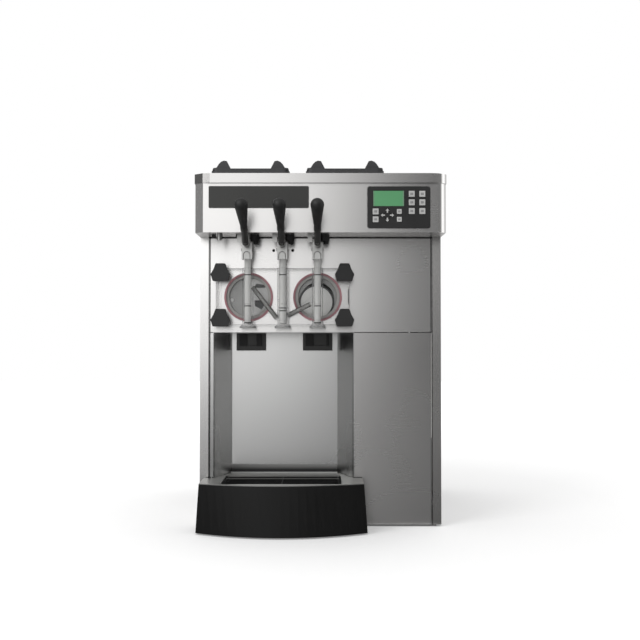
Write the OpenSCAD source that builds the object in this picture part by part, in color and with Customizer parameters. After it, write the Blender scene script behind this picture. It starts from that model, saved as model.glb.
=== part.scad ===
// Countertop soft-serve machine with two freezing cylinders and three draw levers.
// Frame: origin at the middle of the base on the surface it stands on,
// +X to the viewer's right, +Y to the back, +Z up. Millimetres.

/* [Cabinet] */
// Width over the side panels
cab_w = 657; // [640:1:700]
// Depth from the front panels to the back panel
cab_d = 620; // [600:1:680]
// Height of the top deck
cab_h = 941; // [930:1:970]
// Height of the projecting head
head_h = 154; // [146:1:166]
// How far the head projects past the front panels
head_over = 116; // [105:1:135]
// Width of each corner facet on the head
facet_w = 22; // [14:1:30]
// Depth of each corner facet on the head
facet_d = 17; // [10:1:24]
// Height of the folded band round the top
band_h = 25; // [20:1:32]
// Gap between the band and the head behind it
band_gap = 0.5; // [0.3:0.1:1.5]
// Width of the band's second, shallow facet
facet2_w = 18; // [8:1:24]
// How far the band's front bows out past its corners
facet2_d = 3; // [1:0.5:6]
// Thickness of the casing sheet
sheet = 1.5; // [1:0.1:2.5]
// Width of the dark gap between neighbouring sheets
seam = 2; // [1:0.5:3]
// Height of the gap under the casing
foot_gap = 5; // [3:0.5:12]
// Width of the side panels' front and rear flanges
flange_w = 23; // [18:1:28]

/* [Chassis] */
// Height of the base pan's upstand
pan_h = 40; // [30:1:55]
// Plate thickness of the base pan and bulkhead
plate = 4; // [3:0.5:6]
// Width of each leg of a corner post
post_w = 20; // [16:1:20]
// How far the base pan is set in from the casing
pan_inset = 12; // [8:1:18]
// Spacing of the leg sockets across the machine
leg_x = 540; // [480:5:570]
// Spacing of the leg sockets front to back
leg_y = 500; // [440:5:520]
// Bore radius of a leg socket
leg_bore_r = 5; // [4:0.5:6]
// Depth of a leg socket
leg_bore_l = 20; // [15:1:28]

/* [Dispensing recess] */
// Distance of the recess ceiling below the cylinders' axes
recess_drop = 96.5; // [92:0.5:108]
// Height of the deck that the drip pan sits in
deck_z = 132; // [110:1:160]
// Distance of the recess from the left side
recess_in = 36.5; // [33:0.5:48]
// Width of the recess at the front
recess_w = 382; // [372:1:410]
// Depth of the recess
recess_d = 98; // [80:1:120]
// How far each side wall closes in towards the back
recess_splay = 42; // [20:1:46]

/* [Freezing cylinders] */
// Distance of the door's middle from the left side
door_in = 226.5; // [224:0.5:232]
// Spacing of the cylinders
cyl_pitch = 188; // [184:1:196]
// Distance of the cylinders' axes below the head
cyl_drop = 163.5; // [157:0.5:170]
// Inside radius of a cylinder
cyl_r = 60; // [52:1:62]
// Wall of a cylinder
cyl_wall = 3; // [2:0.5:4]
// Radius over the insulation
jacket_r = 82; // [76:1:84]
// Length of a cylinder
cyl_l = 380; // [320:5:400]
// Gap between an auger's blades and the cylinder
auger_gap = 2; // [1:0.5:4]
// Radius of an auger's drive shaft
auger_shaft_r = 10; // [8:0.5:14]

/* [Dispensing door] */
// Width of the clear door
door_w = 362; // [356:1:372]
// Height of the clear door
door_h = 154; // [150:1:164]
// Thickness of the door plate
door_t = 20; // [16:1:24]
// Gap between door and front panel, filled by the seals
door_gap = 4; // [3:0.5:6]
// Distance of the draw valves' axes in front of the front panels
valve_out = 30; // [28:1:32]
// Radius of a draw valve's plunger
plunger_r = 9.5; // [8.5:0.1:10]
// Wall of a spigot boss
boss_wall = 5; // [4:0.5:7]
// Radius of the flange round a spout
spout_flange_r = 21.5; // [18:0.5:24]
// Distance of the spouts' lower edges below the cylinders' axes
spout_drop = 85.5; // [82:0.5:90]
// Radius of the seal rings' middle line
seal_r = 63.5; // [62:0.5:66]
// Sideways spacing of the door studs
stud_x = 333; // [328:1:338]
// Spacing of the door studs up and down
stud_z = 122; // [112:1:128]
// Radius of a door stud
stud_r = 5; // [4:0.5:6]
// Width of a door knob across its lobes
knob_w = 52; // [44:1:54]
// Length of a door knob
knob_l = 26; // [20:1:32]

/* [Draw levers] */
// Crank radius from the lever pin to the valve pin
crank_r = 24; // [22:0.5:26]
// Angle of the crank below level at rest
crank_deg = 20; // [15:1:25]
// Distance of the valve pins below the head at rest
valve_pin_drop = 47; // [44:0.5:54]
// Radius of the lever pin
lever_pin_r = 4; // [3:0.5:5]
// Radius of the valve pin
valve_pin_r = 3; // [2.5:0.25:3.5]
// Width over a lever's fork
fork_w = 27; // [26:0.5:30]
// Diameter of a lever's bar
bar_d = 15; // [11:0.5:16]
// Reach of a lever's lower, flatter stretch in front of its fork
bar_reach = 45; // [40:1:52]
// Rise of a lever's lower stretch
bar_rise = 14; // [11:1:16]
// Length of a lever's steep stretch
bar_l = 56; // [48:1:64]
// Angle of a lever's steep stretch above level
bar_deg = 36; // [30:1:42]
// Angle of a grip above level
grip_deg = 28; // [24:1:34]
// Length of a grip up to the middle of its ball end
grip_l = 93; // [80:1:105]
// Diameter of a grip's ball end
grip_d = 34; // [28:1:38]
// Diameter of a grip's neck
grip_neck_d = 17; // [16:0.5:20]

/* [Hoppers] */
// Width of a hopper cover
cover_w = 211; // [200:1:216]
// Depth of a hopper cover
cover_d = 300; // [260:1:340]
// Distance of the left cover from the left side
cover_in = 34; // [31:1:40]
// Gap between the two covers
cover_apart = 44; // [30:1:60]
// Distance of the covers behind the head's front
cover_back = 70; // [55:1:90]
// Height of a cover's body
cover_h = 27; // [20:1:34]
// Height of the finger humps above the deck
hump_h = 51; // [42:1:60]
// Depth of a hopper
hopper_h = 130; // [100:1:138]
// How far the cover overlaps the hopper's rim
cover_lap = 12; // [8:1:18]

/* [Nameplate and controls] */
// Width of the bare nameplate
name_w = 261; // [240:1:264]
// Height of the bare nameplate
name_h = 57; // [40:1:62]
// Distance of the nameplate from the left side
name_in = 37; // [30:1:50]
// Distance of the nameplate's middle below the deck
name_drop = 62; // [58:1:70]
// Thickness of the nameplate
name_t = 2; // [1:0.5:4]
// Width of the control bezel
bezel_w = 164; // [162:1:170]
// Height of the control bezel
bezel_h = 109; // [106:1:114]
// Distance of the bezel from the right side
bezel_in = 42.5; // [36:0.5:52]
// Distance of the bezel's middle below the deck
bezel_drop = 89; // [86:1:92]
// Thickness of the bezel in front of the head
bezel_t = 3; // [2:0.5:5]
// Depth of the housing behind the head's front
housing_d = 26; // [20:1:40]
// Width of the display
display_w = 80; // [70:1:84]
// Height of the display
display_h = 40; // [34:1:42]
// Side of a function key
key_w = 15.5; // [12:0.5:17]
// Side of a select key
select_w = 12.5; // [9:0.5:13]
// Side of an arrow key
arrow_w = 10; // [7:0.5:11]
// Travel of a key
key_travel = 0.6; // [0.3:0.1:0.8]

/* [Drip tray] */
// How far the apron's top reaches left past the recess
apron_over_left = 26; // [8:1:28]
// How far the apron's top reaches right past the recess
apron_over_right = 24; // [20:1:35]
// Flare of the apron's left end towards its foot
apron_flare_left = 8; // [5:1:10]
// Flare of the apron's right end towards its foot
apron_flare_right = 9; // [5:1:22]
// Distance of the apron's corners in front of the front panels
apron_out = 101; // [85:1:110]
// How far the apron's middle bows out past its corners
apron_bow = 36; // [20:1:44]
// Extra bow at the apron's foot
apron_foot_bow = 25; // [6:1:30]
// Wall of the apron
apron_t = 4; // [3:0.5:6]
// Gap between the apron and the surface
apron_gap = 4; // [3:0.5:8]
// Depth of the drip pan
drip_h = 34; // [24:1:36]
// Width of a drip drawer's front
drawer_w = 83; // [70:1:86]
// Height of a drip drawer's front
drawer_h = 48; // [40:1:50]
// Length of a drip drawer
drawer_l = 190; // [140:1:220]

/* [Refrigeration] */
// Radius of the compressor shell
comp_r = 80; // [65:1:90]
// Height of the compressor shell
comp_h = 210; // [160:1:240]
// Height of the condenser coil
cond_h = 300; // [270:1:340]
// Radius over the fan blades
fan_r = 118; // [90:1:122]
// Bore radius of the cord gland
gland_r = 6; // [4:0.5:8]

/* [Hidden] */
$fn = 48;
// Running clearance of a pin in its hole
run = 0.05;
// Clearance between pieces that move past each other
gap = 0.5;
// Small overlap that makes cuts run clean through
eps = 0.1;

front_y = -cab_d / 2;
back_y = cab_d / 2;
side_x = cab_w / 2;
head_z = cab_h - head_h;
cyl_z = head_z - cyl_drop;
door_z = cyl_z;
recess_top = cyl_z - recess_drop;
spout_z = cyl_z - spout_drop;
valve_pin_z = head_z - valve_pin_drop;
recess_left = side_x - recess_in;
recess_right = recess_w - recess_left;
door_x = door_in - side_x;
cover_left_x = cover_in + cover_w / 2 - side_x;
cover_right_x = cover_left_x + cover_w + cover_apart;
name_x = name_in + name_w / 2 - side_x;
name_z = cab_h - name_drop;
bezel_x = side_x - bezel_in - bezel_w / 2;
bezel_z = cab_h - bezel_drop;
apron_left = recess_left + apron_over_left;
apron_right = recess_right + apron_over_right;
foot_left = apron_left + apron_flare_left;
foot_right = apron_right + apron_flare_right;
head_y = front_y - head_over;
band_z = cab_h - band_h;
bezel_y = head_y - bezel_t;
panel_x = side_x - flange_w - seam;
left_x = door_x - cyl_pitch / 2;
right_x = door_x + cyl_pitch / 2;
valve_xs = [left_x, door_x, right_x];
valve_y = front_y - valve_out;
door_back = front_y - door_gap;
door_front = door_back - door_t;
boss_r = plunger_r + boss_wall;
pivot_y = valve_y - crank_r * cos(crank_deg);
pivot_z = valve_pin_z + crank_r * sin(crank_deg);
inner_x = side_x - sheet;
post_x = inner_x - gap;
cover_front = head_y + cover_back;
rib = 2 * sheet;

// Plan of the head, counter-clockwise from the back left.
head_plan = [
    [-side_x, back_y],
    [-side_x, head_y + facet_d],
    [facet_w - side_x, head_y],
    [side_x - facet_w, head_y],
    [side_x, head_y + facet_d],
    [side_x, back_y]
];
band_plan = [
    [-side_x, back_y],
    [-side_x, head_y + facet_d],
    [facet_w - side_x, head_y],
    [facet_w + facet2_w - side_x, head_y - facet2_d],
    [side_x - facet_w - facet2_w, head_y - facet2_d],
    [side_x - facet_w, head_y],
    [side_x, head_y + facet_d],
    [side_x, back_y]
];
// Plan of the recess at its walls' inner faces.
recess_plan = [
    [-recess_left, front_y],
    [recess_splay - recess_left, front_y + recess_d],
    [recess_right - recess_splay, front_y + recess_d],
    [recess_right, front_y]
];
recess_back = front_y + recess_d;

// Control panel layout, measured from the bezel's middle.
housing_w = bezel_w - 10;
housing_h = bezel_h - 10;
housing_wall = 5;
key_proud = 0.8;
key_depth = 3.2;
key_gap = 0.3;
key_pocket = key_depth - key_proud + key_travel + 0.3;
display_x = -26.5;
display_dz = 23;
display_t = 1.5;
function_xs = [33.5, 61];
function_zs = [35, 12.8, -9.9];
small_z1 = -11;
small_z2 = -31;
menu_x = -60.5;
select_x = 1;
arrow_x = -29.8;
arrow_z = -20.8;
arrow_step = 11.2;
// Every key: sideways place, height and side.
KEYS = [
    for (z = function_zs, x = function_xs) [x, z, key_w],
    [menu_x, small_z1, key_w],
    [menu_x, small_z2 - 0.5, key_w - 0.5],
    [select_x, small_z1, select_w],
    [select_x, small_z2 - 0.5, select_w],
    [arrow_x, arrow_z + arrow_step, arrow_w],
    [arrow_x, arrow_z - arrow_step, arrow_w],
    [arrow_x - arrow_step, arrow_z, arrow_w],
    [arrow_x + arrow_step, arrow_z, arrow_w]
];

// Chassis levels.
post_top = head_z - 10;
bulkhead_y = front_y + sheet + 3;
bulkhead_back = bulkhead_y + plate;
bulkhead_bottom = recess_top + sheet + 2;
drawer_z = recess_top - 2 - drawer_h;
shelf_z = drawer_z - gap - plate;
drip_floor = deck_z - drip_h;
drip_shelf_z = drip_floor - gap - plate;
barrel_back = front_y + cyl_l;
jacket_front = bulkhead_back;
motor_gap = 8;
gearbox_l = 60;
gearbox_half = 50;
motor_r = 42;
motor_l = 100;
motor_foot_half = 30;
feed_back = 160;
feed_y = front_y + feed_back;
feed_r = 9;
feed_wall = 3;
door_left = door_x - door_w / 2;
door_bottom = door_z - door_h / 2;
stud_z0 = door_z + 3.5;
deck_t = 2;

gland_x = 128.5 - side_x;
gland_z = 100;
vent_pitch = 14;
vent_h = 4;
vent_l = 220;
vent_y = 40;
vent_z = 90;
vent_rows = 16;
top_vent_drop = 297;
top_vent_z = head_z - top_vent_drop;
top_vent_rows = 6;
back_vent_l = 260;
back_vent_x = 120;
back_vent_z = 110;
back_vent_rows = 18;
high_vent_l = 420;
high_vent_drop = 147;
high_vent_z = head_z - high_vent_drop;
high_vent_rows = 7;
screw_hole_r = 4;
// A grip's outline on a cover: distance in from the edge, and share of its rise above the cover.
hump_line = [
    [1, -0.3], [4, 0.15], [13, 0.2], [19, 0.6], [25, 0.86],
    [33, 1], [41, 0.94], [47, 0.46], [53, -0.04]
];
screw_hole_x = 26;
screw_hole_z = head_z - 36;
hanger_half = 26;
hanger_in = 7;
hanger_front = 14;
hanger_back = 24;
hanger_t = 3;
tab_in = 14;
tab_h = 20;
bumper_x = 20;
bumper_r = 12;
bumper_h = 16;
bumper_tip_x = 23;
bumper_tip_r = 7;
bumper_tip_h = 8;
// Corners of a knob's face, as shares of its width.
knob_corners = [
    [0.24, 0.46], [0.35, 0.16], [0.5, -0.1], [0.39, -0.45],
    [-0.39, -0.45], [-0.5, -0.1], [-0.35, 0.16], [-0.24, 0.46]
];
knob_edge = 3;
block_bottom = pivot_z - 27;
arch_rise = 11;
block_top = pivot_z + 17;
block_front = pivot_y - 17.5;
block_back = valve_y + 6;
bridge_t = 6;
arm_in = plunger_r + 0.3;
lug_r = 6.5;
lug_w = 12;
knee_bead = 0.4;
grip_gap = 1.5;
bar_root = [0, block_front + 2, pivot_z + bar_rise - 4];
bar_knee = [0, block_front - bar_reach, pivot_z + bar_rise];
bar_end = [0, bar_knee[1] - bar_l * cos(bar_deg), bar_knee[2] + bar_l * sin(bar_deg)];
grip_ball = [0, bar_end[1] - grip_l * cos(grip_deg), bar_end[2] + grip_l * sin(grip_deg)];
cond_t = 45;
cond_gap = 32;
cond_x = side_x - sheet - cond_gap - cond_t;
fan_stand = 25;
fan_x = cond_x - fan_stand;
fan_z = cond_h / 2 + 65;
fan_shaft_r = 4;
shroud_t = 8;
cond_foot = 40;
cond_edge = 6;
fins = 14;
fin_slot = 4;
fan_hub_r = 24;
fan_hub_half = 10;
fan_tip_gap = 10;
blade_w = 56;
blade_t = 2;
fan_motor_r = 32;
fan_motor_l = 50;
strut_t = 12;
strut_half = 6;
comp_dome = 30;
comp_flange = 15;
comp_foot_y = 38;
comp_foot_r = 9;
comp_x = -120;
comp_y = 130;
comp_z = 60;
hump_l = 90;
port_r = 7;
pan_left = 30 - recess_left;
pan_right = recess_right - 33;
pan_front = front_y - apron_out - 9;
pan_back = recess_back - 55;

// Helpers -------------------------------------------------------------

// A box from its lowest to its highest corner.
module span(x, y, z) {
    translate([x[0], y[0], z[0]])
        cube([x[1] - x[0], y[1] - y[0], z[1] - z[0]]);
}

// A cylinder along Y from y[0] to y[1].
module ycyl(r, x, z, y) {
    translate([x, y[1], z])
        rotate([90, 0, 0])
            cylinder(r = r, h = y[1] - y[0]);
}

// A cylinder along X from x[0] to x[1].
module xcyl(r, y, z, x) {
    translate([x[0], y, z])
        rotate([0, 90, 0])
            cylinder(r = r, h = x[1] - x[0]);
}

// A cylinder along Z from z[0] to z[1].
module zcyl(r, x, y, z) {
    translate([x, y, z[0]])
        cylinder(r = r, h = z[1] - z[0]);
}

// An outline drawn in X and Z, made solid between two places along Y.
module slab(y) {
    translate([0, y[1], 0])
        rotate([90, 0, 0])
            linear_extrude(y[1] - y[0])
                children();
}

// An outline drawn in Y and Z, made solid between two places along X.
module slice(x) {
    translate([x[0], 0, 0])
        rotate([90, 0, 90])
            linear_extrude(x[1] - x[0])
                children();
}

// A rectangle with round corners, from its middle.
module round_rect(w, h, r) {
    hull()
        for (x = [-1, 1], z = [-1, 1])
            translate([x * (w / 2 - r), z * (h / 2 - r)])
                circle(r = r, $fn = 24);
}

// A rod between two points in one plane of constant X.
module rod(r, a, b) {
    d = b - a;
    translate(a)
        rotate([-atan2(d[1], d[2]), 0, 0])
            cylinder(r = r, h = norm(d));
}

// A solid between two outlines with the same number of points.
module loft(low, high, z) {
    n = len(low);
    points = concat([for (p = low) [p[0], p[1], z[0]]], [for (p = high) [p[0], p[1], z[1]]]);
    sides = [for (i = [0:n - 1]) each [
        [i, n + i, (i + 1) % n],
        [(i + 1) % n, n + i, n + (i + 1) % n]
    ]];
    caps = [[for (i = [0:n - 1]) i], [for (i = [n - 1:-1:0]) n + i]];
    polyhedron(points = points, faces = concat(sides, caps));
}

// Casing and cabinet --------------------------------------------------

// Base pan, corner posts, rails and shelves, welded into one frame.
module chassis_frame() {
    pan_x = side_x - pan_inset;
    pan_y = back_y - pan_inset;
    post_y = back_y - sheet - gap;
    color("gray")
    difference() {
        union() {
            span([-pan_x, pan_x], [-pan_y, pan_y], [0, plate]);
            difference() {
                span([-pan_x, pan_x], [-pan_y, pan_y], [0, pan_h]);
                span([plate - pan_x, pan_x - plate], [plate - pan_y, pan_y - plate], [-1, pan_h + 1]);
            }
            for (x = [-1, 1], y = [-1, 1]) {
                zcyl(leg_bore_r + 6, x * leg_x / 2, y * leg_y / 2, [0, leg_bore_l + plate]);
                mirror([x < 0 ? 1 : 0, 0, 0])
                    mirror([0, y < 0 ? 1 : 0, 0]) {
                        span([post_x - plate, post_x], [post_y - post_w, post_y], [plate + 4, post_top]);
                        span([post_x - post_w, post_x], [post_y - plate, post_y], [plate + 4, post_top]);
                        span([pan_x - plate - 1, post_x], [post_y - post_w, pan_y], [pan_h - 20, pan_h]);
                    }
            }
            for (x = [-post_x, post_x - post_w])
                for (z = [shelf_z, post_top - plate])
                    span([x, x + post_w], [-post_y, post_y], [z, z + plate]);
            span([-post_x, post_x], [recess_back + sheet + 6, post_y], [shelf_z, shelf_z + plate]);
            span([-post_x, post_x], [post_y - post_w, post_y], [post_top - plate, post_top]);
            difference() {
                span([-post_x, post_x], [bulkhead_y, bulkhead_back], [bulkhead_bottom, post_top]);
                for (x = [left_x, right_x])
                    ycyl(cyl_r + cyl_wall + gap, x, cyl_z, [bulkhead_y - 1, bulkhead_back + 1]);
            }
            span([-recess_left + 32, recess_right - 32], [front_y + plate, recess_back - 3],
                 [drip_shelf_z, drip_shelf_z + plate]);
            for (x = [-recess_left + 32, recess_right - 32 - plate])
                span([x, x + plate], [front_y + pan_inset + 1, recess_back - 3], [plate - 1, drip_shelf_z + 1]);
        }
        for (x = [-1, 1], y = [-1, 1])
            zcyl(leg_bore_r, x * leg_x / 2, y * leg_y / 2, [-1, leg_bore_l]);
    }
}

// Rows of cooling slots, as an outline in the panel's own plane.
module slots(count, pitch, length, height) {
    for (i = [0:count - 1])
        translate([-length / 2, i * pitch])
            square([length, height]);
}

// One side skin, drawn for the right-hand side.
module side_panel() {
    color("silver")
    difference() {
        union() {
            span([inner_x, side_x], [front_y, back_y], [foot_gap, head_z]);
            span([side_x - flange_w, side_x], [front_y, front_y + sheet], [foot_gap, head_z]);
            span([side_x - flange_w, side_x], [back_y - sheet, back_y], [foot_gap, head_z]);
        }
        for (field = [[vent_z, vent_rows], [top_vent_z, top_vent_rows]])
            translate([0, vent_y, field[0]])
                slice([inner_x - 1, side_x + 1])
                    slots(field[1], vent_pitch, vent_l, vent_h);
    }
}

module left_side_panel() {
    mirror([1, 0, 0])
        side_panel();
}

module right_side_panel() {
    side_panel();
}

// Rear skin with cooling slots and the hole for the cord gland.
module back_panel() {
    color("silver")
    difference() {
        span([-panel_x, panel_x], [back_y - sheet, back_y], [foot_gap, head_z]);
        translate([back_vent_x, 0, back_vent_z])
            slab([back_y - sheet - 1, back_y + 1])
                slots(back_vent_rows, vent_pitch, back_vent_l, vent_h);
        translate([0, 0, high_vent_z])
            slab([back_y - sheet - 1, back_y + 1])
                slots(high_vent_rows, vent_pitch, high_vent_l, vent_h);
        ycyl(gland_r + 4 + gap, gland_x, gland_z, [back_y - sheet - 1, back_y + 1]);
    }
}

// Sheet round the dispensing door, between recess and head.
module front_panel() {
    color("silver")
    difference() {
        span([-panel_x, panel_x], [front_y, front_y + sheet], [recess_top + seam / 2, head_z - seam / 2]);
        for (x = [left_x, right_x])
            ycyl(cyl_r + cyl_wall + gap, x, cyl_z, [front_y - 1, front_y + sheet + 1]);
        for (x = [-1, 1], z = [-1, 1])
            ycyl(stud_r + gap, door_x + x * stud_x / 2, stud_z0 + z * stud_z / 2,
                 [front_y - 1, front_y + sheet + 1]);
        for (x = [-1, 1])
            ycyl(screw_hole_r, door_x + x * screw_hole_x, screw_hole_z, [front_y - 1, front_y + sheet + 1]);
    }
}

// Cover beside and below the recess.
module service_panel() {
    top = recess_top - seam / 2;
    color("silver")
    span([recess_right + sheet + gap, panel_x], [front_y, front_y + sheet], [foot_gap, top]);
    color("silver")
    span([-panel_x, panel_x], [front_y, front_y + sheet], [foot_gap, drip_shelf_z]);
}

// Splayed alcove behind the spouts, open at the bottom over the drip pan.
module recess_liner() {
    color("silver")
    difference() {
        translate([0, 0, deck_z + gap])
            linear_extrude(recess_top + sheet - deck_z - gap)
                intersection() {
                    offset(delta = sheet)
                        polygon(recess_plan);
                    translate([-cab_w, front_y])
                        square([2 * cab_w, cab_d]);
                }
        translate([0, 0, deck_z])
            linear_extrude(recess_top - deck_z)
                polygon(concat(recess_plan, [[recess_right, front_y - 1], [-recess_left, front_y - 1]]));
        for (x = [left_x, right_x])
            span([x - drawer_w / 2 - gap, x + drawer_w / 2 + gap],
                 [recess_back - 1, recess_back + sheet + 1],
                 [drawer_z - gap, recess_top - 1]);
        // The ceiling lies behind the front panel.
        span([-cab_w, cab_w], [front_y - 1, front_y + sheet + gap], [recess_top - gap, recess_top + sheet + 1]);
    }
    color("silver")
    span([-panel_x, -recess_left - sheet / 2], [front_y, front_y + sheet], [deck_z + gap, recess_top - seam / 2]);
}

// Projecting upper casing with faceted front corners.
module head_shroud() {
    color("silver")
    difference() {
        translate([0, 0, head_z])
            linear_extrude(cab_h - sheet - head_z)
                polygon(head_plan);
        translate([0, 0, head_z + sheet])
            linear_extrude(cab_h - head_z)
                offset(delta = -sheet)
                    polygon(head_plan);
        span([-inner_x, inner_x], [front_y + sheet + 3, back_y - sheet], [head_z - 1, head_z + sheet + 1]);
        translate([bezel_x, 0, bezel_z])
            slab([head_y - 1, head_y + sheet + 1])
                round_rect(housing_w + 2 * gap, housing_h + 2 * gap, 4);
    }
}

// Flat top with a folded band and the two hopper openings.
module top_cap() {
    color("silver")
    difference() {
        translate([0, 0, band_z])
            linear_extrude(band_h)
                offset(delta = band_gap + sheet)
                    polygon(band_plan);
        translate([0, 0, band_z - 1])
            linear_extrude(band_h - sheet + 1)
                offset(delta = band_gap)
                    polygon(band_plan);
        for (x = [cover_left_x, cover_right_x])
            translate([x, cover_front + cover_d / 2, cab_h - sheet - 1])
                linear_extrude(sheet + 2)
                    square([cover_w - 2 * cover_lap + 2 * gap, cover_d - 2 * cover_lap + 2 * gap], center = true);
    }
}

// Bare plate on the head's front.
module nameplate() {
    color("dimgray")
    translate([name_x, 0, name_z])
        slab([head_y - name_t, head_y])
            round_rect(name_w, name_h, 3);
}

// Control housing with its circuit board behind the bezel.
module control_bezel() {
    color("darkslategray")
    difference() {
        union() {
            translate([bezel_x, 0, bezel_z])
                slab([bezel_y, head_y])
                    round_rect(bezel_w, bezel_h, 6);
            translate([bezel_x, 0, bezel_z])
                slab([bezel_y, head_y + housing_d])
                    round_rect(housing_w, housing_h, 4);
        }
        translate([bezel_x, 0, bezel_z])
            slab([bezel_y + housing_wall, head_y + housing_d + 1])
                round_rect(housing_w - 6, housing_h - 6, 3);
        span([bezel_x + display_x - display_w / 2 - key_gap, bezel_x + display_x + display_w / 2 + key_gap],
             [bezel_y - 1, bezel_y + display_t + 0.2],
             [bezel_z + display_dz - display_h / 2 - key_gap, bezel_z + display_dz + display_h / 2 + key_gap]);
        for (k = KEYS)
            translate([bezel_x + k[0], 0, bezel_z + k[1]])
                slab([bezel_y - 1, bezel_y + key_pocket])
                    square(k[2] + 2 * key_gap, center = true);
    }
    color("green")
    translate([bezel_x, 0, bezel_z]) {
        slab([head_y + housing_d - 6, head_y + housing_d - 4])
            round_rect(housing_w - 10, housing_h - 10, 3);
        for (x = [-1, 1], z = [-1, 1])
            ycyl(3, x * (housing_w / 2 - 12), z * (housing_h / 2 - 12),
                 [bezel_y + housing_wall - 1, head_y + housing_d - 5]);
    }
}

// Green display window.
module display_window() {
    color("mediumseagreen")
    span([bezel_x + display_x - display_w / 2, bezel_x + display_x + display_w / 2],
         [bezel_y + 0.2, bezel_y + display_t + 0.2],
         [bezel_z + display_dz - display_h / 2, bezel_z + display_dz + display_h / 2]);
}

// One key of the control panel.
module key(i) {
    k = KEYS[i];
    color("lightgray")
    translate([bezel_x + k[0], 0, bezel_z + k[1]])
        slab([bezel_y - key_proud, bezel_y - key_proud + key_depth])
            round_rect(k[2], k[2], 1.2);
}

// Gland for the supply cord.
module cord_gland() {
    color("black")
    difference() {
        union() {
            ycyl(gland_r + 4, gland_x, gland_z, [back_y - sheet - 12, back_y]);
            ycyl(gland_r + 10, gland_x, gland_z, [back_y, back_y + 10]);
        }
        ycyl(gland_r, gland_x, gland_z, [back_y - sheet - 13, back_y + 11]);
    }
}

// Door studs, panel screws and the pin under the head.
module fasteners() {
    color("lightgray") {
        for (x = [-1, 1], z = [-1, 1])
            ycyl(stud_r, door_x + x * stud_x / 2, stud_z0 + z * stud_z / 2, [door_front - knob_l + 6, bulkhead_y]);
        for (x = [-1, 1], z = [60, recess_top - 60, recess_top + 60, head_z - 60])
            ycyl(5, x * (side_x - flange_w / 2), z, [back_y, back_y + 3]);
        zcyl(6, left_x - 71, head_y + 30, [head_z - 18, head_z]);
    }
}

// Product path --------------------------------------------------------

// One mix tank with its rim and feed tube.
module hopper(x, feed_x) {
    w = cover_w - 2 * cover_lap;
    y0 = cover_front + cover_lap;
    y1 = cover_front + cover_d - cover_lap;
    rim = 8;
    difference() {
        union() {
            span([x - w / 2, x + w / 2], [y0, y1], [cab_h - hopper_h, cab_h + rim]);
            span([x - w / 2 - 5, x + w / 2 + 5], [y0 - 5, y1 + 5], [cab_h, cab_h + sheet]);
            zcyl(feed_r + feed_wall, feed_x, feed_y, [cyl_z + cyl_r + cyl_wall + gap, cab_h - hopper_h + 1]);
        }
        span([x - w / 2 + sheet, x + w / 2 - sheet], [y0 + sheet, y1 - sheet],
             [cab_h - hopper_h + sheet, cab_h + rim + 1]);
        zcyl(feed_r, feed_x, feed_y, [cyl_z, cab_h]);
    }
}

module hoppers() {
    color("silver") {
        hopper(cover_left_x, left_x);
        hopper(cover_right_x, right_x);
    }
}

// A cover with a finger hump at each end.
module hopper_cover(x) {
    half = cover_w / 2;
    wall = 4;
    color("dimgray")
    translate([x, cover_front, cab_h])
    difference() {
        union() {
            translate([0, cover_d / 2, 0])
                linear_extrude(cover_h - 6)
                    round_rect(cover_w, cover_d, 16);
            translate([0, cover_d / 2, cover_h - 6])
                linear_extrude(6)
                    round_rect(cover_w - 5, cover_d - 5, 14);
            for (m = [0, 1])
                mirror([m, 0, 0])
                    slab([cover_lap + 4, cover_lap + 4 + hump_l])
                        polygon([for (p = hump_line) [half - p[0], cover_h + p[1] * (hump_h - cover_h)]]);
        }
        translate([0, cover_d / 2, -1])
            linear_extrude(cover_h - wall + 1)
                square([cover_w - 2 * cover_lap + 14, cover_d - 2 * cover_lap + 14], center = true);
    }
}

module left_hopper_cover() {
    hopper_cover(cover_left_x);
}

module right_hopper_cover() {
    hopper_cover(cover_right_x);
}

// One freezing cylinder with its insulation and rear bearing wall.
module barrel(x) {
    difference() {
        union() {
            ycyl(cyl_r + cyl_wall, x, cyl_z, [front_y, barrel_back]);
            ycyl(jacket_r, x, cyl_z, [jacket_front, barrel_back]);
        }
        ycyl(cyl_r, x, cyl_z, [front_y - 1, barrel_back - cyl_wall * 3]);
        ycyl(auger_shaft_r + run, x, cyl_z, [barrel_back - cyl_wall * 4, barrel_back + 1]);
        zcyl(feed_r, x, feed_y, [cyl_z, cyl_z + cyl_r + cyl_wall + 1]);
        zcyl(feed_r + feed_wall + gap, x, feed_y, [cyl_z + cyl_r + cyl_wall + gap / 2, cyl_z + jacket_r + 1]);
    }
}

module freezing_barrels() {
    color("lightsteelblue") {
        barrel(left_x);
        barrel(right_x);
    }
}

// A dasher: shaft, helical flight, two scraper blades and a front ring or plate.
module auger(x, plate_front) {
    r = cyl_r - auger_gap;
    y0 = front_y + 14;
    y1 = barrel_back - cyl_wall * 3 - 4;
    color("gainsboro")
    translate([x, 0, cyl_z]) {
        ycyl(auger_shaft_r, 0, 0, [y1 - 1, barrel_back + motor_gap + gearbox_l / 2]);
        ycyl(r - 6, 0, 0, [y1 - 6, y1]);
        ycyl(8, 0, 0, [y0 + 40, y1]);
        translate([0, y1 - 3, 0])
            rotate([90, 0, 0])
                linear_extrude(y1 - y0 - 43, twist = 1080, slices = 72, segments = 4)
                    translate([-2, 0])
                        square([4, r - 8]);
        for (s = [-1, 1])
            span([s > 0 ? r - 12 : -r + 2, s > 0 ? r - 2 : 12 - r], [y0, y1 - 1], [-6, 6]);
        difference() {
            ycyl(r - 4, 0, 0, [y0, y0 + 5]);
            if (plate_front) {
                span([8, 42], [y0 - 1, y0 + 6], [24, 38]);
                span([6, 34], [y0 - 1, y0 + 6], [-38, -8]);
            } else {
                ycyl(r - 13, 0, -4, [y0 - 1, y0 + 6]);
            }
        }
    }
}

module left_auger() {
    auger(left_x, true);
}

module right_auger() {
    auger(right_x, false);
}

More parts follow.
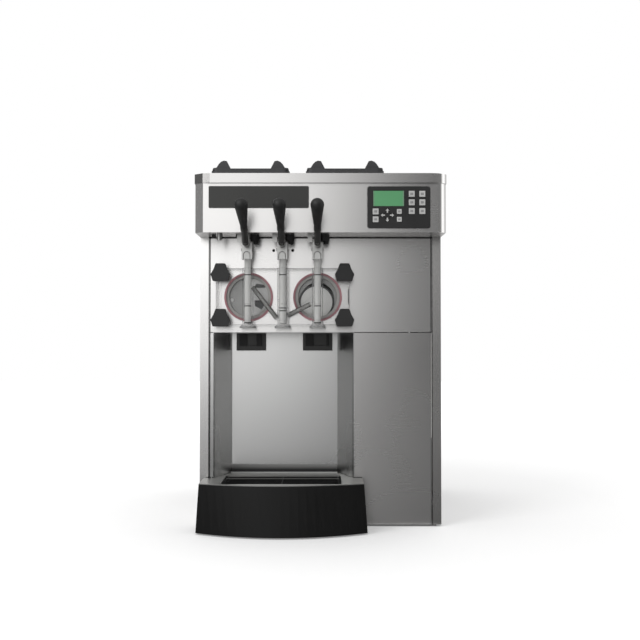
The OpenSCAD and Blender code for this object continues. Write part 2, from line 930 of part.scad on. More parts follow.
// Two gearmotors on the shelf behind the cylinders.
module drive_motors() {
    y0 = barrel_back + motor_gap;
    box = gearbox_half;
    color("slategray")
    for (x = [left_x, right_x])
        difference() {
            union() {
                span([x - box, x + box], [y0, y0 + gearbox_l], [cyl_z - box, cyl_z + box]);
                ycyl(motor_r, x, cyl_z, [y0 + gearbox_l - 1, y0 + gearbox_l + motor_l]);
                span([x - motor_foot_half, x + motor_foot_half], [y0 + plate, y0 + gearbox_l - plate],
                     [shelf_z + plate, cyl_z]);
            }
            ycyl(auger_shaft_r + run, x, cyl_z, [y0 - 1, y0 + gearbox_l / 2 + 1]);
        }
}

// Refrigeration -------------------------------------------------------

// Hermetic compressor on four feet.
module compressor() {
    color("black") {
        zcyl(comp_r, comp_x, comp_y, [comp_z, comp_z + comp_h - comp_dome]);
        translate([comp_x, comp_y, comp_z + comp_h - comp_dome])
            cylinder(r1 = comp_r, r2 = comp_r - comp_dome, h = comp_dome);
        span([comp_x - comp_r - comp_flange, comp_x + comp_r + comp_flange],
             [comp_y - comp_foot_y - comp_foot_r - 3, comp_y + comp_foot_y + comp_foot_r + 3],
             [comp_z - plate, comp_z + 1]);
        for (x = [-1, 1], y = [-1, 1])
            zcyl(comp_foot_r, comp_x + x * (comp_r + 2), comp_y + y * comp_foot_y, [plate, comp_z - plate + 1]);
        zcyl(8, comp_x + comp_r - 20, comp_y, [comp_z + comp_h - 40, comp_z + comp_h + 20]);
    }
}

// Finned coil with its fan shroud and fan motor.
module condenser() {
    x0 = cond_x;
    z0 = fan_z - cond_h / 2;
    z1 = fan_z + cond_h / 2;
    arm = fan_r + shroud_t;
    pitch = cond_h / (fins + 1);
    color("darkgray")
    difference() {
        union() {
            span([x0, x0 + cond_t], [-cond_h / 2, cond_h / 2], [z0, z1]);
            span([x0 - shroud_t, x0 + 1], [-cond_h / 2, cond_h / 2], [z0, z1]);
            span([x0, x0 + cond_foot / 2], [-cond_foot, cond_foot], [plate, z0 + 1]);
        }
        xcyl(fan_r + fin_slot, 0, fan_z, [x0 - shroud_t - 1, x0 + 2]);
        for (i = [1:fins])
            span([x0 + fin_slot, x0 + cond_t + 1], [-cond_h / 2 + cond_edge, cond_h / 2 - cond_edge],
                 [z0 + i * pitch - fin_slot, z0 + i * pitch + fin_slot]);
    }
    color("dimgray") {
        xcyl(fan_shaft_r, 0, fan_z, [fan_x - fan_stand - 1, fan_x + fan_hub_half + 2]);
        xcyl(fan_motor_r, 0, fan_z, [fan_x - fan_stand - fan_motor_l, fan_x - fan_stand]);
        for (s = [-1, 1]) {
            span([fan_x - 60, fan_x - 60 + strut_t], [-strut_half, strut_half],
                 [fan_z + (s > 0 ? fan_motor_r - strut_t : -arm - strut_half),
                  fan_z + (s > 0 ? arm + strut_half : strut_t - fan_motor_r)]);
            span([fan_x - 61 + strut_t, x0 - shroud_t + 1], [-strut_half, strut_half],
                 [fan_z + (s > 0 ? arm : -arm - strut_half), fan_z + (s > 0 ? arm + strut_half : -arm)]);
        }
    }
}

// Fan on the motor's shaft.
module condenser_fan() {
    color("gray")
    difference() {
        union() {
            xcyl(fan_hub_r, 0, fan_z, [fan_x - fan_hub_half, fan_x + fan_hub_half]);
            for (a = [0:72:288])
                translate([fan_x, 0, fan_z])
                    rotate([a, 0, 0])
                        translate([0, 0, fan_hub_r - fan_shaft_r])
                            rotate([0, 0, 35])
                                translate([-blade_t / 2, -blade_w / 2, 0])
                                    cube([blade_t, blade_w, fan_r - fan_hub_r + fan_shaft_r - fan_tip_gap]);
        }
        xcyl(fan_shaft_r + run, 0, fan_z, [fan_x - fan_hub_half - 1, fan_x + fan_hub_half + 1]);
    }
}

// Dispensing door -----------------------------------------------------

// Clear door with three spigot bosses, straight ports and two angled ports.
module dispensing_door() {
    ports_y = (door_front + door_back) / 2;
    pocket_z = spout_z + 26;
    color("lightcyan", 0.4)
    difference() {
        union() {
            translate([door_x, 0, door_z])
                slab([door_front, door_back])
                    round_rect(door_w, door_h, 10);
            for (x = valve_xs) {
                zcyl(boss_r, x, valve_y, [spout_z, door_z + door_h / 2]);
                zcyl(spout_flange_r, x, valve_y, [spout_z, spout_z + 5]);
                translate([x, valve_y, spout_z + 5])
                    cylinder(r1 = spout_flange_r, r2 = boss_r, h = 6);
            }
        }
        for (x = valve_xs) {
            zcyl(plunger_r + run, x, valve_y, [spout_z + 12, door_z + door_h]);
            zcyl(plunger_r - 1.5, x, valve_y, [spout_z - 1, spout_z + 13]);
        }
        for (x = [left_x, right_x])
            ycyl(port_r, x, pocket_z, [valve_y, door_back + 1]);
        // Angled ports carry both flavours to the middle spout.
        for (s = [-1, 1])
            hull()
                for (p = [[0, pocket_z], [s * (cyl_pitch / 2 - 16), door_z - 8]])
                    ycyl(port_r - 1, door_x + p[0], p[1], [ports_y - 3, ports_y + 3]);
        for (s = [-1, 1])
            ycyl(port_r, door_x + s * (cyl_pitch / 2 - 16), door_z - 8, [ports_y, door_back + 1]);
        for (x = [-1, 1], z = [-1, 1])
            ycyl(stud_r + gap, door_x + x * stud_x / 2, stud_z0 + z * stud_z / 2,
                 [door_front - 1, door_back + 1]);
    }
}

module door_seals() {
    color("indianred")
    for (x = [left_x, right_x])
        difference() {
            ycyl(seal_r + 2, x, cyl_z, [door_back, front_y]);
            ycyl(seal_r - 2, x, cyl_z, [door_back - 1, front_y + 1]);
        }
}

// A draw valve's plunger, domed on top, with a slot for the valve pin and two ring grooves.
module plunger(x) {
    top = valve_pin_z + 11;
    slot_y = valve_pin_r + 2.4;
    slot_z = valve_pin_r + 0.5;
    dome_r = plunger_r * 1.5;
    dome_h = dome_r - sqrt(dome_r * dome_r - plunger_r * plunger_r);
    color("whitesmoke")
    difference() {
        union() {
            zcyl(plunger_r, x, valve_y, [spout_z + 13, top - dome_h]);
            intersection() {
                zcyl(plunger_r, x, valve_y, [top - dome_h - 1, top]);
                translate([x, valve_y, top - dome_r])
                    sphere(r = dome_r);
            }
        }
        span([x - plunger_r - 1, x + plunger_r + 1], [valve_y - slot_y, valve_y + slot_y],
             [valve_pin_z - slot_z, valve_pin_z + slot_z]);
        for (z = [spout_z + 20, door_z - 22])
            difference() {
                zcyl(plunger_r + 1, x, valve_y, [z, z + 3]);
                zcyl(plunger_r - 1.5, x, valve_y, [z - 1, z + 4]);
            }
    }
}

module left_plunger() {
    plunger(left_x);
}

module middle_plunger() {
    plunger(door_x);
}

module right_plunger() {
    plunger(right_x);
}

// A three-lobed hand nut on a door stud.
module door_knob(sx, sz) {
    x = door_x + sx * stud_x / 2;
    z = stud_z0 + sz * stud_z / 2;
    tip = door_front - knob_l;
    color("black")
    difference() {
        union() {
            ycyl(11, x, z, [tip + 5, door_front]);
            translate([x, 0, z])
                slab([tip, tip + 17])
                    offset(r = knob_edge)
                        offset(delta = -knob_edge)
                            polygon([for (p = knob_corners) p * knob_w]);
        }
        ycyl(stud_r + run, x, z, [tip + 5, door_front + 1]);
    }
}

module knob_top_left() {
    door_knob(-1, 1);
}

module knob_top_right() {
    door_knob(1, 1);
}

module knob_bottom_left() {
    door_knob(-1, -1);
}

module knob_bottom_right() {
    door_knob(1, -1);
}

// Draw levers ---------------------------------------------------------

// A lever: forked block, valve pin and bent bar.
module lever(x) {
    half = fork_w / 2;
    color("silver")
    translate([x, 0, 0]) {
        difference() {
            slice([-half, half])
                polygon([
                    [block_front, block_bottom],
                    [block_front + 24, block_bottom],
                    [block_back, valve_pin_z - 8],
                    [block_back, valve_pin_z + 6],
                    [block_front + 26, block_top],
                    [block_front, block_top]
                ]);
            span([-arm_in, arm_in], [block_front + bridge_t, block_back + 1], [block_bottom - 1, block_top + 1]);
            span([-arm_in, arm_in], [block_front - 1, block_front + bridge_t + 1],
                 [block_bottom - 1, block_bottom + arch_rise]);
            ycyl(arm_in, 0, block_bottom + arch_rise, [block_front - 1, block_front + bridge_t + 1]);
            xcyl(lever_pin_r + run, pivot_y, pivot_z, [-half - 1, half + 1]);
        }
        xcyl(valve_pin_r, valve_y, valve_pin_z, [-half + 1, half - 1]);
        rod(bar_d / 2, bar_root, bar_knee);
        translate(bar_knee)
            sphere(r = bar_d / 2 + knee_bead);
        rod(bar_d / 2, bar_knee, bar_end);
        rod(bar_d / 3, bar_end, bar_end + (grip_ball - bar_end) * 0.6);
    }
}

module left_lever() {
    lever(left_x);
}

module middle_lever() {
    lever(door_x);
}

module right_lever() {
    lever(right_x);
}

// A tapered grip with a ball end.
module grip(x) {
    bore = (grip_ball - bar_end) * 0.6;
    color("black")
    translate([x, bar_end[1], bar_end[2]])
        rotate([90 - grip_deg, 0, 0])
            translate([0, 0, grip_gap])
            difference() {
                union() {
                    cylinder(r1 = grip_neck_d / 2, r2 = grip_d / 2, h = grip_l);
                    translate([0, 0, grip_l])
                        sphere(r = grip_d / 2);
                }
                translate([0, 0, -1])
                    cylinder(r = bar_d / 3 + run, h = norm(bore) + 2);
            }
}

module left_grip() {
    grip(left_x);
}

module middle_grip() {
    grip(door_x);
}

module right_grip() {
    grip(right_x);
}

// Hangers under the head, each with the pin that a lever turns on.
module lever_brackets() {
    color("gray")
    for (x = valve_xs) {
        xcyl(lever_pin_r, pivot_y, pivot_z, [x - fork_w / 2 - 2.5, x + fork_w / 2 + 2.5]);
        xcyl(lug_r, pivot_y, pivot_z, [x - lug_w / 2, x + lug_w / 2]);
        span([x - lug_w / 2, x + lug_w / 2], [pivot_y - lug_r, pivot_y + lug_r], [pivot_z, head_z - 1]);
        span([x - hanger_half, x + hanger_in], [pivot_y - hanger_front, pivot_y + hanger_back],
             [head_z - hanger_t, head_z]);
        span([x - hanger_half, x - tab_in], [pivot_y - hanger_front, pivot_y - hanger_front + plate],
             [head_z - tab_h, head_z - hanger_t / 2]);
    }
}

// Stop buttons beside the levers.
module lever_bumpers() {
    color("black")
    for (x = valve_xs) {
        zcyl(bumper_r, x + bumper_x, pivot_y + plate, [head_z - bumper_h, head_z]);
        zcyl(bumper_tip_r, x + bumper_tip_x, pivot_y + plate,
             [head_z - bumper_h - bumper_tip_h, head_z - bumper_h + 1]);
    }
}

// Drip parts ----------------------------------------------------------

// Plan of the apron: straight ends, bowed front, counter-clockwise.
function apron_plan(left, right, out, bow) =
    let (steps = 20, half = (left + right) / 2, mid = (right - left) / 2)
    concat(
        [[mid + half, front_y - gap], [-left, front_y - gap]],
        [for (i = [0:steps])
            let (u = 2 * i / steps - 1)
            [mid + u * half, front_y - out - bow * (1 - u * u)]]
    );

// Black front of the drip tray, flared towards its foot.
module drip_apron() {
    top = deck_z - deck_t;
    grow = 2;
    color("black")
    difference() {
        loft(apron_plan(foot_left, foot_right, apron_out, apron_bow + apron_foot_bow),
             apron_plan(apron_left, apron_right, apron_out, apron_bow),
             [apron_gap, top]);
        translate([0, grow, 0])
            loft(apron_plan(foot_left - apron_t, foot_right - apron_t, apron_out + grow - apron_t,
                            apron_bow + apron_foot_bow),
                 apron_plan(apron_left - apron_t, apron_right - apron_t, apron_out + grow - apron_t, apron_bow),
                 [apron_gap - 0.01, top + 0.01]);
    }
}

// Deck and pan, one stainless pressing with four pegs for the grid.
module drip_pan() {
    wall = sheet;
    color("silver") {
        difference() {
            union() {
                translate([0, 0, deck_z - deck_t])
                    linear_extrude(deck_t) {
                        polygon(apron_plan(apron_left - 0.5, apron_right - 0.5, apron_out - 0.5, apron_bow));
                        intersection() {
                            offset(delta = -gap)
                                polygon(recess_plan);
                            translate([-cab_w, front_y + gap])
                                square([2 * cab_w, recess_d]);
                        }
                        translate([gap - recess_left, front_y - 1])
                            square([recess_left + recess_right - 2 * gap - 2, 4]);
                    }
                drip_box(0, drip_floor);
            }
            drip_box(-wall, drip_floor + wall);
        }
        for (x = [pan_left + 12, pan_right - 12], y = [pan_front + 12, pan_back - 12])
            zcyl(5, x, y, [drip_floor + wall / 2, deck_z - 9]);
    }
}

// The pan's outline, grown or shrunk, from a given height up past the deck.
module drip_box(grow, z) {
    translate([(pan_left + pan_right) / 2, (pan_front + pan_back) / 2, z])
        linear_extrude(grow < 0 ? drip_h + 2 : deck_z - z)
            round_rect(pan_right - pan_left + 2 * grow, pan_back - pan_front + 2 * grow, 10 + grow);
}

// Black grid standing on the pan's pegs.
module drip_grid() {
    w = pan_right - pan_left - 2 * sheet - 3;
    d = pan_back - pan_front - 2 * sheet - 3;
    bars = 11;
    step = (d - 8) / bars;
    color("black")
    translate([(pan_left + pan_right) / 2, (pan_front + pan_back) / 2, deck_z - 9])
        difference() {
            linear_extrude(5)
                round_rect(w, d, 8);
            for (i = [0:bars - 1], s = [-1, 1])
                translate([s > 0 ? 2 : 8 - w / 2, -d / 2 + 6 + i * step, -1])
                    cube([w / 2 - 10, step - 4, 7]);
        }
}

// A shallow drawer under a cylinder.
module drip_drawer(x) {
    wall = 2;
    w = drawer_w / 2;
    y0 = recess_back - 6;
    color("black")
    difference() {
        span([x - w, x + w], [y0, recess_back + drawer_l], [drawer_z, drawer_z + drawer_h]);
        span([x - w + wall, x + w - wall], [y0 + 6, recess_back + drawer_l - wall],
             [drawer_z + wall, drawer_z + drawer_h + 1]);
        span([x - w + 11, x + w - 7], [y0 - 1, y0 + 4], [drawer_z + 13, drawer_z + drawer_h - 4]);
    }
}

module left_drip_drawer() {
    drip_drawer(left_x);
}

module right_drip_drawer() {
    drip_drawer(right_x);
}

module key_function_1() { key(0); }
module key_function_2() { key(1); }
module key_function_3() { key(2); }
module key_function_4() { key(3); }
module key_function_5() { key(4); }
module key_function_6() { key(5); }
module key_menu_1() { key(6); }
module key_menu_2() { key(7); }
module key_select_1() { key(8); }
module key_select_2() { key(9); }
module key_up() { key(10); }
module key_down() { key(11); }
module key_left() { key(12); }
module key_right() { key(13); }

chassis_frame();
left_side_panel();
right_side_panel();
back_panel();
front_panel();
service_panel();
recess_liner();
head_shroud();
top_cap();
nameplate();
control_bezel();
display_window();
key_function_1();
key_function_2();
key_function_3();
key_function_4();
key_function_5();
key_function_6();
key_menu_1();
key_menu_2();
key_select_1();
key_select_2();
key_up();
key_down();
key_left();
key_right();
cord_gland();
fasteners();
hoppers();
left_hopper_cover();
right_hopper_cover();
freezing_barrels();
left_auger();
right_auger();
drive_motors();
compressor();
condenser();
condenser_fan();
dispensing_door();
door_seals();
left_plunger();
middle_plunger();
right_plunger();
knob_top_left();
knob_top_right();
knob_bottom_left();
knob_bottom_right();
left_lever();
middle_lever();
right_lever();
left_grip();
middle_grip();
right_grip();
lever_brackets();
lever_bumpers();
drip_apron();
drip_pan();
drip_grid();
left_drip_drawer();
right_drip_drawer();
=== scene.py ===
"""Looks of the countertop soft-serve machine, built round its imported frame."""
import math

import bmesh
import bpy
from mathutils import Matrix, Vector

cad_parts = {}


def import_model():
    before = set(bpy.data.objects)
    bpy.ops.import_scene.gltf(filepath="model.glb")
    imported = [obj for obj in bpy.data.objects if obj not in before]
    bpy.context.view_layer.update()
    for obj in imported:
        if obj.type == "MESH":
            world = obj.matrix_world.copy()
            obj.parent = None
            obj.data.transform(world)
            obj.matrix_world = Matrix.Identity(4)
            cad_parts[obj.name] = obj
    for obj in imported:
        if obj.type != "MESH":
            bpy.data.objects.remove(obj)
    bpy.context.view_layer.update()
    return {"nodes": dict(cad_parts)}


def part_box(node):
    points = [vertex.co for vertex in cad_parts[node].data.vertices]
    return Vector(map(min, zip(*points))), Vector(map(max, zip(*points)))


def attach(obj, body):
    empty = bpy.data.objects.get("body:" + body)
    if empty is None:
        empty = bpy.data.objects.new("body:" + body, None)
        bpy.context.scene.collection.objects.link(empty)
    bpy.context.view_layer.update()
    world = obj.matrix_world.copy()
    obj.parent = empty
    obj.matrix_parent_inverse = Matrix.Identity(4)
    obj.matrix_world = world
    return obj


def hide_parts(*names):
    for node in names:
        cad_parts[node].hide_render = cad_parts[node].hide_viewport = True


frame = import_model()
nodes = frame["nodes"]

MM = 0.001
UP = Vector((0, 0, 1))
BACK = Vector((0, 1, 0))
SIDES = ("left", "middle", "right")
PAIR = ("left", "right")


# Materials -----------------------------------------------------------

# The sockets of a colour mix, which share their names with those of other types.
MIX_A, MIX_B, MIX_RESULT = 6, 7, 2


class Graph:
    """A node material with its shader and short ways to add nodes."""

    def __init__(self, name, **inputs):
        self.material = bpy.data.materials.new(name)
        self.material.use_nodes = True
        self.tree = self.material.node_tree
        self.shader = self.tree.nodes["Principled BSDF"]
        for key, value in inputs.items():
            self.shader.inputs[key.replace("_", " ")].default_value = value

    @classmethod
    def over(cls, tree):
        """The same short ways on a cleared tree that is not a material's."""
        g = cls.__new__(cls)
        g.tree = tree
        g.tree.nodes.clear()
        return g

    def add(self, kind, **values):
        node = self.tree.nodes.new(kind)
        for key, value in values.items():
            if key in node.inputs:
                node.inputs[key].default_value = value
            else:
                setattr(node, key, value)
        return node

    def link(self, source, target):
        self.tree.links.new(source, target)

    def maths(self, operation, first, second):
        node = self.add("ShaderNodeMath", operation=operation)
        self.link(first, node.inputs[0])
        self.link(second, node.inputs[1])
        return node.outputs[0]

    def parts(self, vector):
        """The X, Y and Z of a vector, by name."""
        node = self.add("ShaderNodeSeparateXYZ")
        self.link(vector, node.inputs[0])
        return node.outputs

    def dimmed(self, colour, level):
        """A colour times a level."""
        mix = self.add("ShaderNodeMix", data_type="RGBA", blend_type="MULTIPLY")
        mix.inputs["Factor"].default_value = 1.0
        self.link(colour, mix.inputs[MIX_A])
        self.link(level, mix.inputs[MIX_B])
        return mix.outputs[MIX_RESULT]

    def coords(self, scale):
        """Object coordinates stretched by a scale on each axis."""
        place = self.add("ShaderNodeTexCoord")
        stretch = self.add("ShaderNodeMapping")
        stretch.inputs["Scale"].default_value = scale
        self.link(place.outputs["Object"], stretch.inputs["Vector"])
        return stretch.outputs["Vector"]

    def noise(self, scale, detail=3.0, stretch=(1, 1, 1)):
        node = self.add("ShaderNodeTexNoise", Scale=scale, Detail=detail)
        self.link(self.coords(stretch), node.inputs["Vector"])
        return node.outputs["Fac"]

    def remap(self, source, low, high, from_low=0.3, from_high=0.7):
        node = self.add("ShaderNodeMapRange")
        self.link(source, node.inputs["Value"])
        limits = {"From Min": from_low, "From Max": from_high, "To Min": low, "To Max": high}
        for key, value in limits.items():
            node.inputs[key].default_value = value
        return node.outputs["Result"]

    def blend(self, source, first, second):
        """A colour between two, by a value."""
        node = self.add("ShaderNodeValToRGB")
        ramp = node.color_ramp
        ramp.elements[0].color = (*first, 1)
        ramp.elements[1].color = (*second, 1)
        ramp.elements[0].position = 0.3
        ramp.elements[1].position = 0.7
        self.link(source, node.inputs["Fac"])
        return node.outputs["Color"]

    def bump(self, source, strength, distance, edge=0.0):
        """Fine relief, over edges that are rounded by a small radius."""
        node = self.add("ShaderNodeBump", Strength=strength, Distance=distance)
        self.link(source, node.inputs["Height"])
        if edge:
            soft = self.add("ShaderNodeBevel", samples=4, Radius=edge)
            self.link(soft.outputs["Normal"], node.inputs["Normal"])
        self.link(node.outputs["Normal"], self.shader.inputs["Normal"])

    def crevice_shade(self, source, reach, darkest, near=False):
        """Painted shade: the colour, darker where surfaces meet or face each other; near keeps to
        this piece.
        """
        node = self.add("ShaderNodeAmbientOcclusion", Distance=reach, samples=6, only_local=near)
        return self.dimmed(source, self.remap(node.outputs["AO"], darkest, 1.0, 0.25, 0.85))


# The noise scales of brushed streaks along and across the brush, and how far their tones part.
STREAK_LENGTH, STREAK_PITCH = 3.0, 900.0
STREAK_SPREAD = 0.004
# Heights between which a piece's front skin darkens towards its foot as painted shade, and the
# depth the front skin ends at.
FOOT_LOW, FOOT_HIGH = 0.10, 0.52
SKIN_BACK = -0.306


def brushed(name, tone, roughness, along, dark=0.6, drawn=0.6, near=False,
            leftward=1.0, square=1.0, foot=1.0, turn=(-0.8, -0.2)):
    """Brushed steel: fine streaks along an axis, with highlights drawn out across them, and
    painted shade that darkens the colour where surfaces meet, down to dark.

    leftward dims the faces that look left, from the first to the second share of turn, and
    square dims those that look forward or left, both as painted shade. foot dims the front
    skin towards its foot, also as painted shade.
    """
    g = Graph(name, Metallic=1.0, Anisotropic=drawn)
    stretch = [STREAK_LENGTH if part > 0.5 else STREAK_PITCH for part in along]
    streaks = g.noise(1.0, 4.0, stretch)
    soft = g.noise(3.0, 2.0)
    low = [c * (1 - STREAK_SPREAD) for c in tone]
    high = [min(1, c * (1 + STREAK_SPREAD)) for c in tone]
    # Painted shade: the colour darkens in creases and where faces look at each other.
    colour = g.crevice_shade(g.blend(streaks, low, high), 0.04, dark, near)
    normal = g.add("ShaderNodeNewGeometry").outputs["Normal"]
    # Painted shade: faces that look left, or forward, are dimmed by their normal.
    if leftward < 1.0:
        facing = g.parts(normal)["X"]
        level = g.maths("MULTIPLY", g.remap(facing, leftward, 1.0, *turn),
                        g.remap(facing, square, 1.0, 0.2, 0.8))
        colour = g.dimmed(colour, level)
    # Painted shade: the front skin darkens towards its foot.
    if foot < 1.0:
        place = g.parts(g.add("ShaderNodeTexCoord").outputs["Object"])
        level = g.maths("MAXIMUM", g.remap(place["Z"], foot, 1.0, FOOT_LOW, FOOT_HIGH),
                        g.remap(place["Y"], 0.0, 1.0, SKIN_BACK, SKIN_BACK + 6 * MM))
        colour = g.dimmed(colour, level)
    g.link(colour, g.shader.inputs["Base Color"])
    uneven = g.maths("ADD", g.remap(streaks, roughness - 0.001, roughness + 0.001),
                     g.remap(soft, -0.01, 0.01))
    g.link(uneven, g.shader.inputs["Roughness"])
    across = g.add("ShaderNodeVectorMath", operation="CROSS_PRODUCT")
    g.link(normal, across.inputs[0])
    across.inputs[1].default_value = along
    g.link(across.outputs["Vector"], g.shader.inputs["Tangent"])
    return g.material


def moulded(name, tone, roughness, grain=900.0, depth=0.12, spread=0.15, edge=0.0015, gloss=0.5):
    """Moulded plastic or rubber with a fine grain and slightly uneven tone."""
    g = Graph(name, Specular_IOR_Level=gloss)
    fine = g.noise(grain, 2.0)
    broad = g.noise(9.0, 3.0)
    low = [c * (1 - spread) for c in tone]
    high = [c * (1 + spread) for c in tone]
    g.link(g.blend(broad, low, high), g.shader.inputs["Base Color"])
    g.link(g.remap(broad, roughness - 0.05, roughness + 0.05), g.shader.inputs["Roughness"])
    g.bump(fine, depth, 0.0002, edge)
    return g.material


def clear(name, tone, alpha, rim, roughness):
    """Clear acrylic: almost nothing face on, denser where it is seen edge on."""
    g = Graph(name, IOR=1.49)
    haze = g.noise(14.0, 2.0)
    edge = g.add("ShaderNodeLayerWeight", Blend=0.5)
    facing = edge.outputs["Facing"]
    g.link(g.remap(facing, alpha, rim, 0.35, 0.9), g.shader.inputs["Alpha"])
    g.link(g.blend(facing, tone, [c * 0.3 for c in tone]), g.shader.inputs["Base Color"])
    g.link(g.remap(haze, roughness, roughness + 0.05), g.shader.inputs["Roughness"])
    return g.material


def graded(name, bottom, top, from_z, to_z, roughness):
    """A satin shader whose colour goes from one tone to another with height on the piece; the cove
    uses it for painted shade.
    """
    g = Graph(name)
    height = g.parts(g.add("ShaderNodeTexCoord").outputs["Object"])["Z"]
    level = g.remap(height, 0.3, 0.7, from_z, to_z)
    g.link(g.blend(level, bottom, top), g.shader.inputs["Base Color"])
    fine = g.noise(700.0, 2.0)
    g.link(g.remap(fine, roughness - 0.02, roughness + 0.02), g.shader.inputs["Roughness"])
    g.bump(fine, 0.02, 0.0001)
    return g.material


# The ways a sheet is brushed, each a little off its axis so that no face has its normal along it.
ACROSS = (1, 0.02, 0.01)
UPRIGHT = (0.01, 0.02, 1)
DEEP = (0.01, 1, 0.02)


def grey(level, warmth=0.01):
    """A grey that is a little weaker in the blue."""
    return (level, level, level - warmth)


# Casing sheets
steel_across = brushed("steel_across", (0.80, 0.79, 0.78), 0.27, ACROSS)
steel_front = brushed("steel_front", (0.93, 0.92, 0.91), 0.27, ACROSS, near=True)
# The recess liner: painted shade in its creases, on faces that look left or forward, and towards
# the foot of its front skin.
steel_liner = brushed("steel_liner", (1.0, 1.0, 0.99), 0.27, ACROSS, dark=0.92,
                      leftward=0.58, square=0.83, foot=0.40)
# The top band: its faces that look left are dimmed as painted shade.
steel_band = brushed("steel_band", (0.72, 0.71, 0.70), 0.27, ACROSS,
                     leftward=0.50, turn=(-0.15, -0.04))
steel_upright = brushed("steel_upright", (0.88, 0.87, 0.86), 0.27, UPRIGHT)
# The left side sheet is a lit copy of the steel, its brighter tone painted light; the right side
# sheet is a shaded copy, its darker tone painted shade.
steel_left_lit = brushed("steel_left_lit", (0.97, 0.96, 0.95), 0.27, UPRIGHT)
steel_right_shaded = brushed("steel_right_shaded", (0.68, 0.67, 0.66), 0.27, UPRIGHT)
steel_deck = brushed("steel_deck", grey(0.33), 0.4, ACROSS)
# Metal without a drawn highlight
steel_part = brushed("steel_part", grey(0.50), 0.28, UPRIGHT, drawn=0.0)
steel_edge = brushed("steel_edge", (0.80, 0.79, 0.78), 0.13, UPRIGHT, drawn=0.0)
steel_hood = brushed("steel_hood", grey(0.45), 0.5, ACROSS, drawn=0.0)
steel_inner = brushed("steel_inner", grey(0.55), 0.4, DEEP, drawn=0.0)
# Paint, plastic and rubber
bar_grey = moulded("bar_grey", (0.10, 0.10, 0.095), 0.6)
bar_black = moulded("bar_black", (0.022, 0.022, 0.021), 0.4)
paint_grey = moulded("paint_grey", (0.24, 0.25, 0.26), 0.5, 400.0)
paint_black = moulded("paint_black", grey(0.02, 0), 0.3, 300.0)
plastic_black = moulded("plastic_black", grey(0.018, 0), 0.5)
grip_black = moulded("grip_black", grey(0.010, 0), 0.55)
cover_black = moulded("cover_black", (0.045, 0.045, 0.047), 0.5)
apron_black = moulded("apron_black", grey(0.005, 0), 0.5, gloss=0.25)
grid_black = moulded("grid_black", grey(0.004, 0), 0.7, gloss=0.1)
drawer_black = moulded("drawer_black", (0.028, 0.028, 0.027), 0.4)
# Painted shade for the dark strips in the drip drawers' pockets.
drawer_shade_black = moulded("drawer_shade_black", grey(0.008, 0), 0.6)
cavity_black = moulded("cavity_black", grey(0.006, 0), 0.8)
rubber_black = moulded("rubber_black", grey(0.012, 0), 0.6)
plate_black = moulded("plate_black", (0.032, 0.032, 0.030), 0.45)
bezel_black = moulded("bezel_black", grey(0.017, 0), 0.4)
ring_dark = moulded("ring_dark", grey(0.07, 0), 0.4)
seal_red = moulded("seal_red", (0.46, 0.22, 0.245), 0.5)
# The control panel
display_green = moulded("display_green", (0.12, 0.37, 0.17), 0.25, 1500.0, 0.04, 0.04)
display_pale = moulded("display_pale", (0.20, 0.36, 0.23), 0.25, 1500.0, 0.04, 0.04)
key_grey = moulded("key_grey", grey(0.56), 0.4)
icon_grey = moulded("icon_grey", grey(0.30, 0), 0.5, 900.0, 0.05, 0.05)
# What shows in and behind the clear door
valve_grey = moulded("valve_grey", (0.63, 0.63, 0.615), 0.35, 600.0, 0.05, 0.03)
lip_grey = moulded("lip_grey", (0.50, 0.50, 0.48), 0.35, 500.0, 0.05, 0.05)
# The screw head is real; its white is a painted glint.
screw_glint_white = moulded("screw_glint_white", grey(0.85), 0.3, edge=0.0)
disc_pale = moulded("disc_pale", (0.88, 0.88, 0.86), 0.35, 500.0, 0.05, 0.05)
# A painted sheen: pale greys that stand for light on the left cylinder's plate and its pockets.
painted_sheen_grey = moulded("painted_sheen_grey", grey(0.88), 0.4, 500.0, 0.05, 0.05)
pocket_sheen_grey = moulded("pocket_sheen_grey", grey(0.84), 0.4, 500.0, 0.05, 0.05)
pocket_dark = moulded("pocket_dark", grey(0.14, 0), 0.5)
clear_door = clear("clear_door", (0.80, 0.82, 0.82), 0.01, 0.8, 0.04)
clear_rim = clear("clear_rim", grey(0.50), 0.30, 0.7, 0.1)
clear_channel = clear("clear_channel", (0.62, 0.62, 0.60), 0.35, 0.95, 0.1)
channel_edge = clear("channel_edge", grey(0.20), 0.55, 0.95, 0.1)
# The foot of the recess wall: a grey strip, and a cove darkening towards the deck as a painted
# dark reflection of the drip tray.
strip_grey = graded("strip_grey", grey(0.42), grey(0.44), 0.13, 0.14, 0.45)
cove_shade = graded("cove_shade", grey(0.002, 0), grey(0.42), 0.141, 0.160, 0.8)

FINISH = {
    "chassis_frame": cavity_black,
    "left_side_panel": steel_left_lit,
    "right_side_panel": steel_right_shaded,
    "back_panel": steel_upright,
    "front_panel": steel_front,
    "service_panel": steel_across,
    "recess_liner": steel_liner,
    "head_shroud": steel_across,
    "top_cap": steel_band,
    "nameplate": plate_black,
    "control_bezel": bezel_black,
    "display_window": display_green,
    "cord_gland": plastic_black,
    "fasteners": steel_part,
    "hoppers": steel_inner,
    "left_hopper_cover": cover_black,
    "right_hopper_cover": cover_black,
    "freezing_barrels": steel_inner,
    "left_auger": steel_inner,
    "right_auger": steel_inner,
    "drive_motors": paint_grey,
    "compressor": paint_black,
    "condenser": steel_inner,
    "condenser_fan": plastic_black,
    "dispensing_door": clear_door,
    "door_seals": seal_red,
    "lever_brackets": steel_part,
    "lever_bumpers": rubber_black,
    "drip_apron": apron_black,
    "drip_pan": steel_deck,
    "drip_grid": grid_black,
    "left_drip_drawer": drawer_black,
    "right_drip_drawer": drawer_black,
}
for side in SIDES:
    FINISH[side + "_lever"] = steel_part
    FINISH[side + "_grip"] = grip_black
    FINISH[side + "_plunger"] = valve_grey
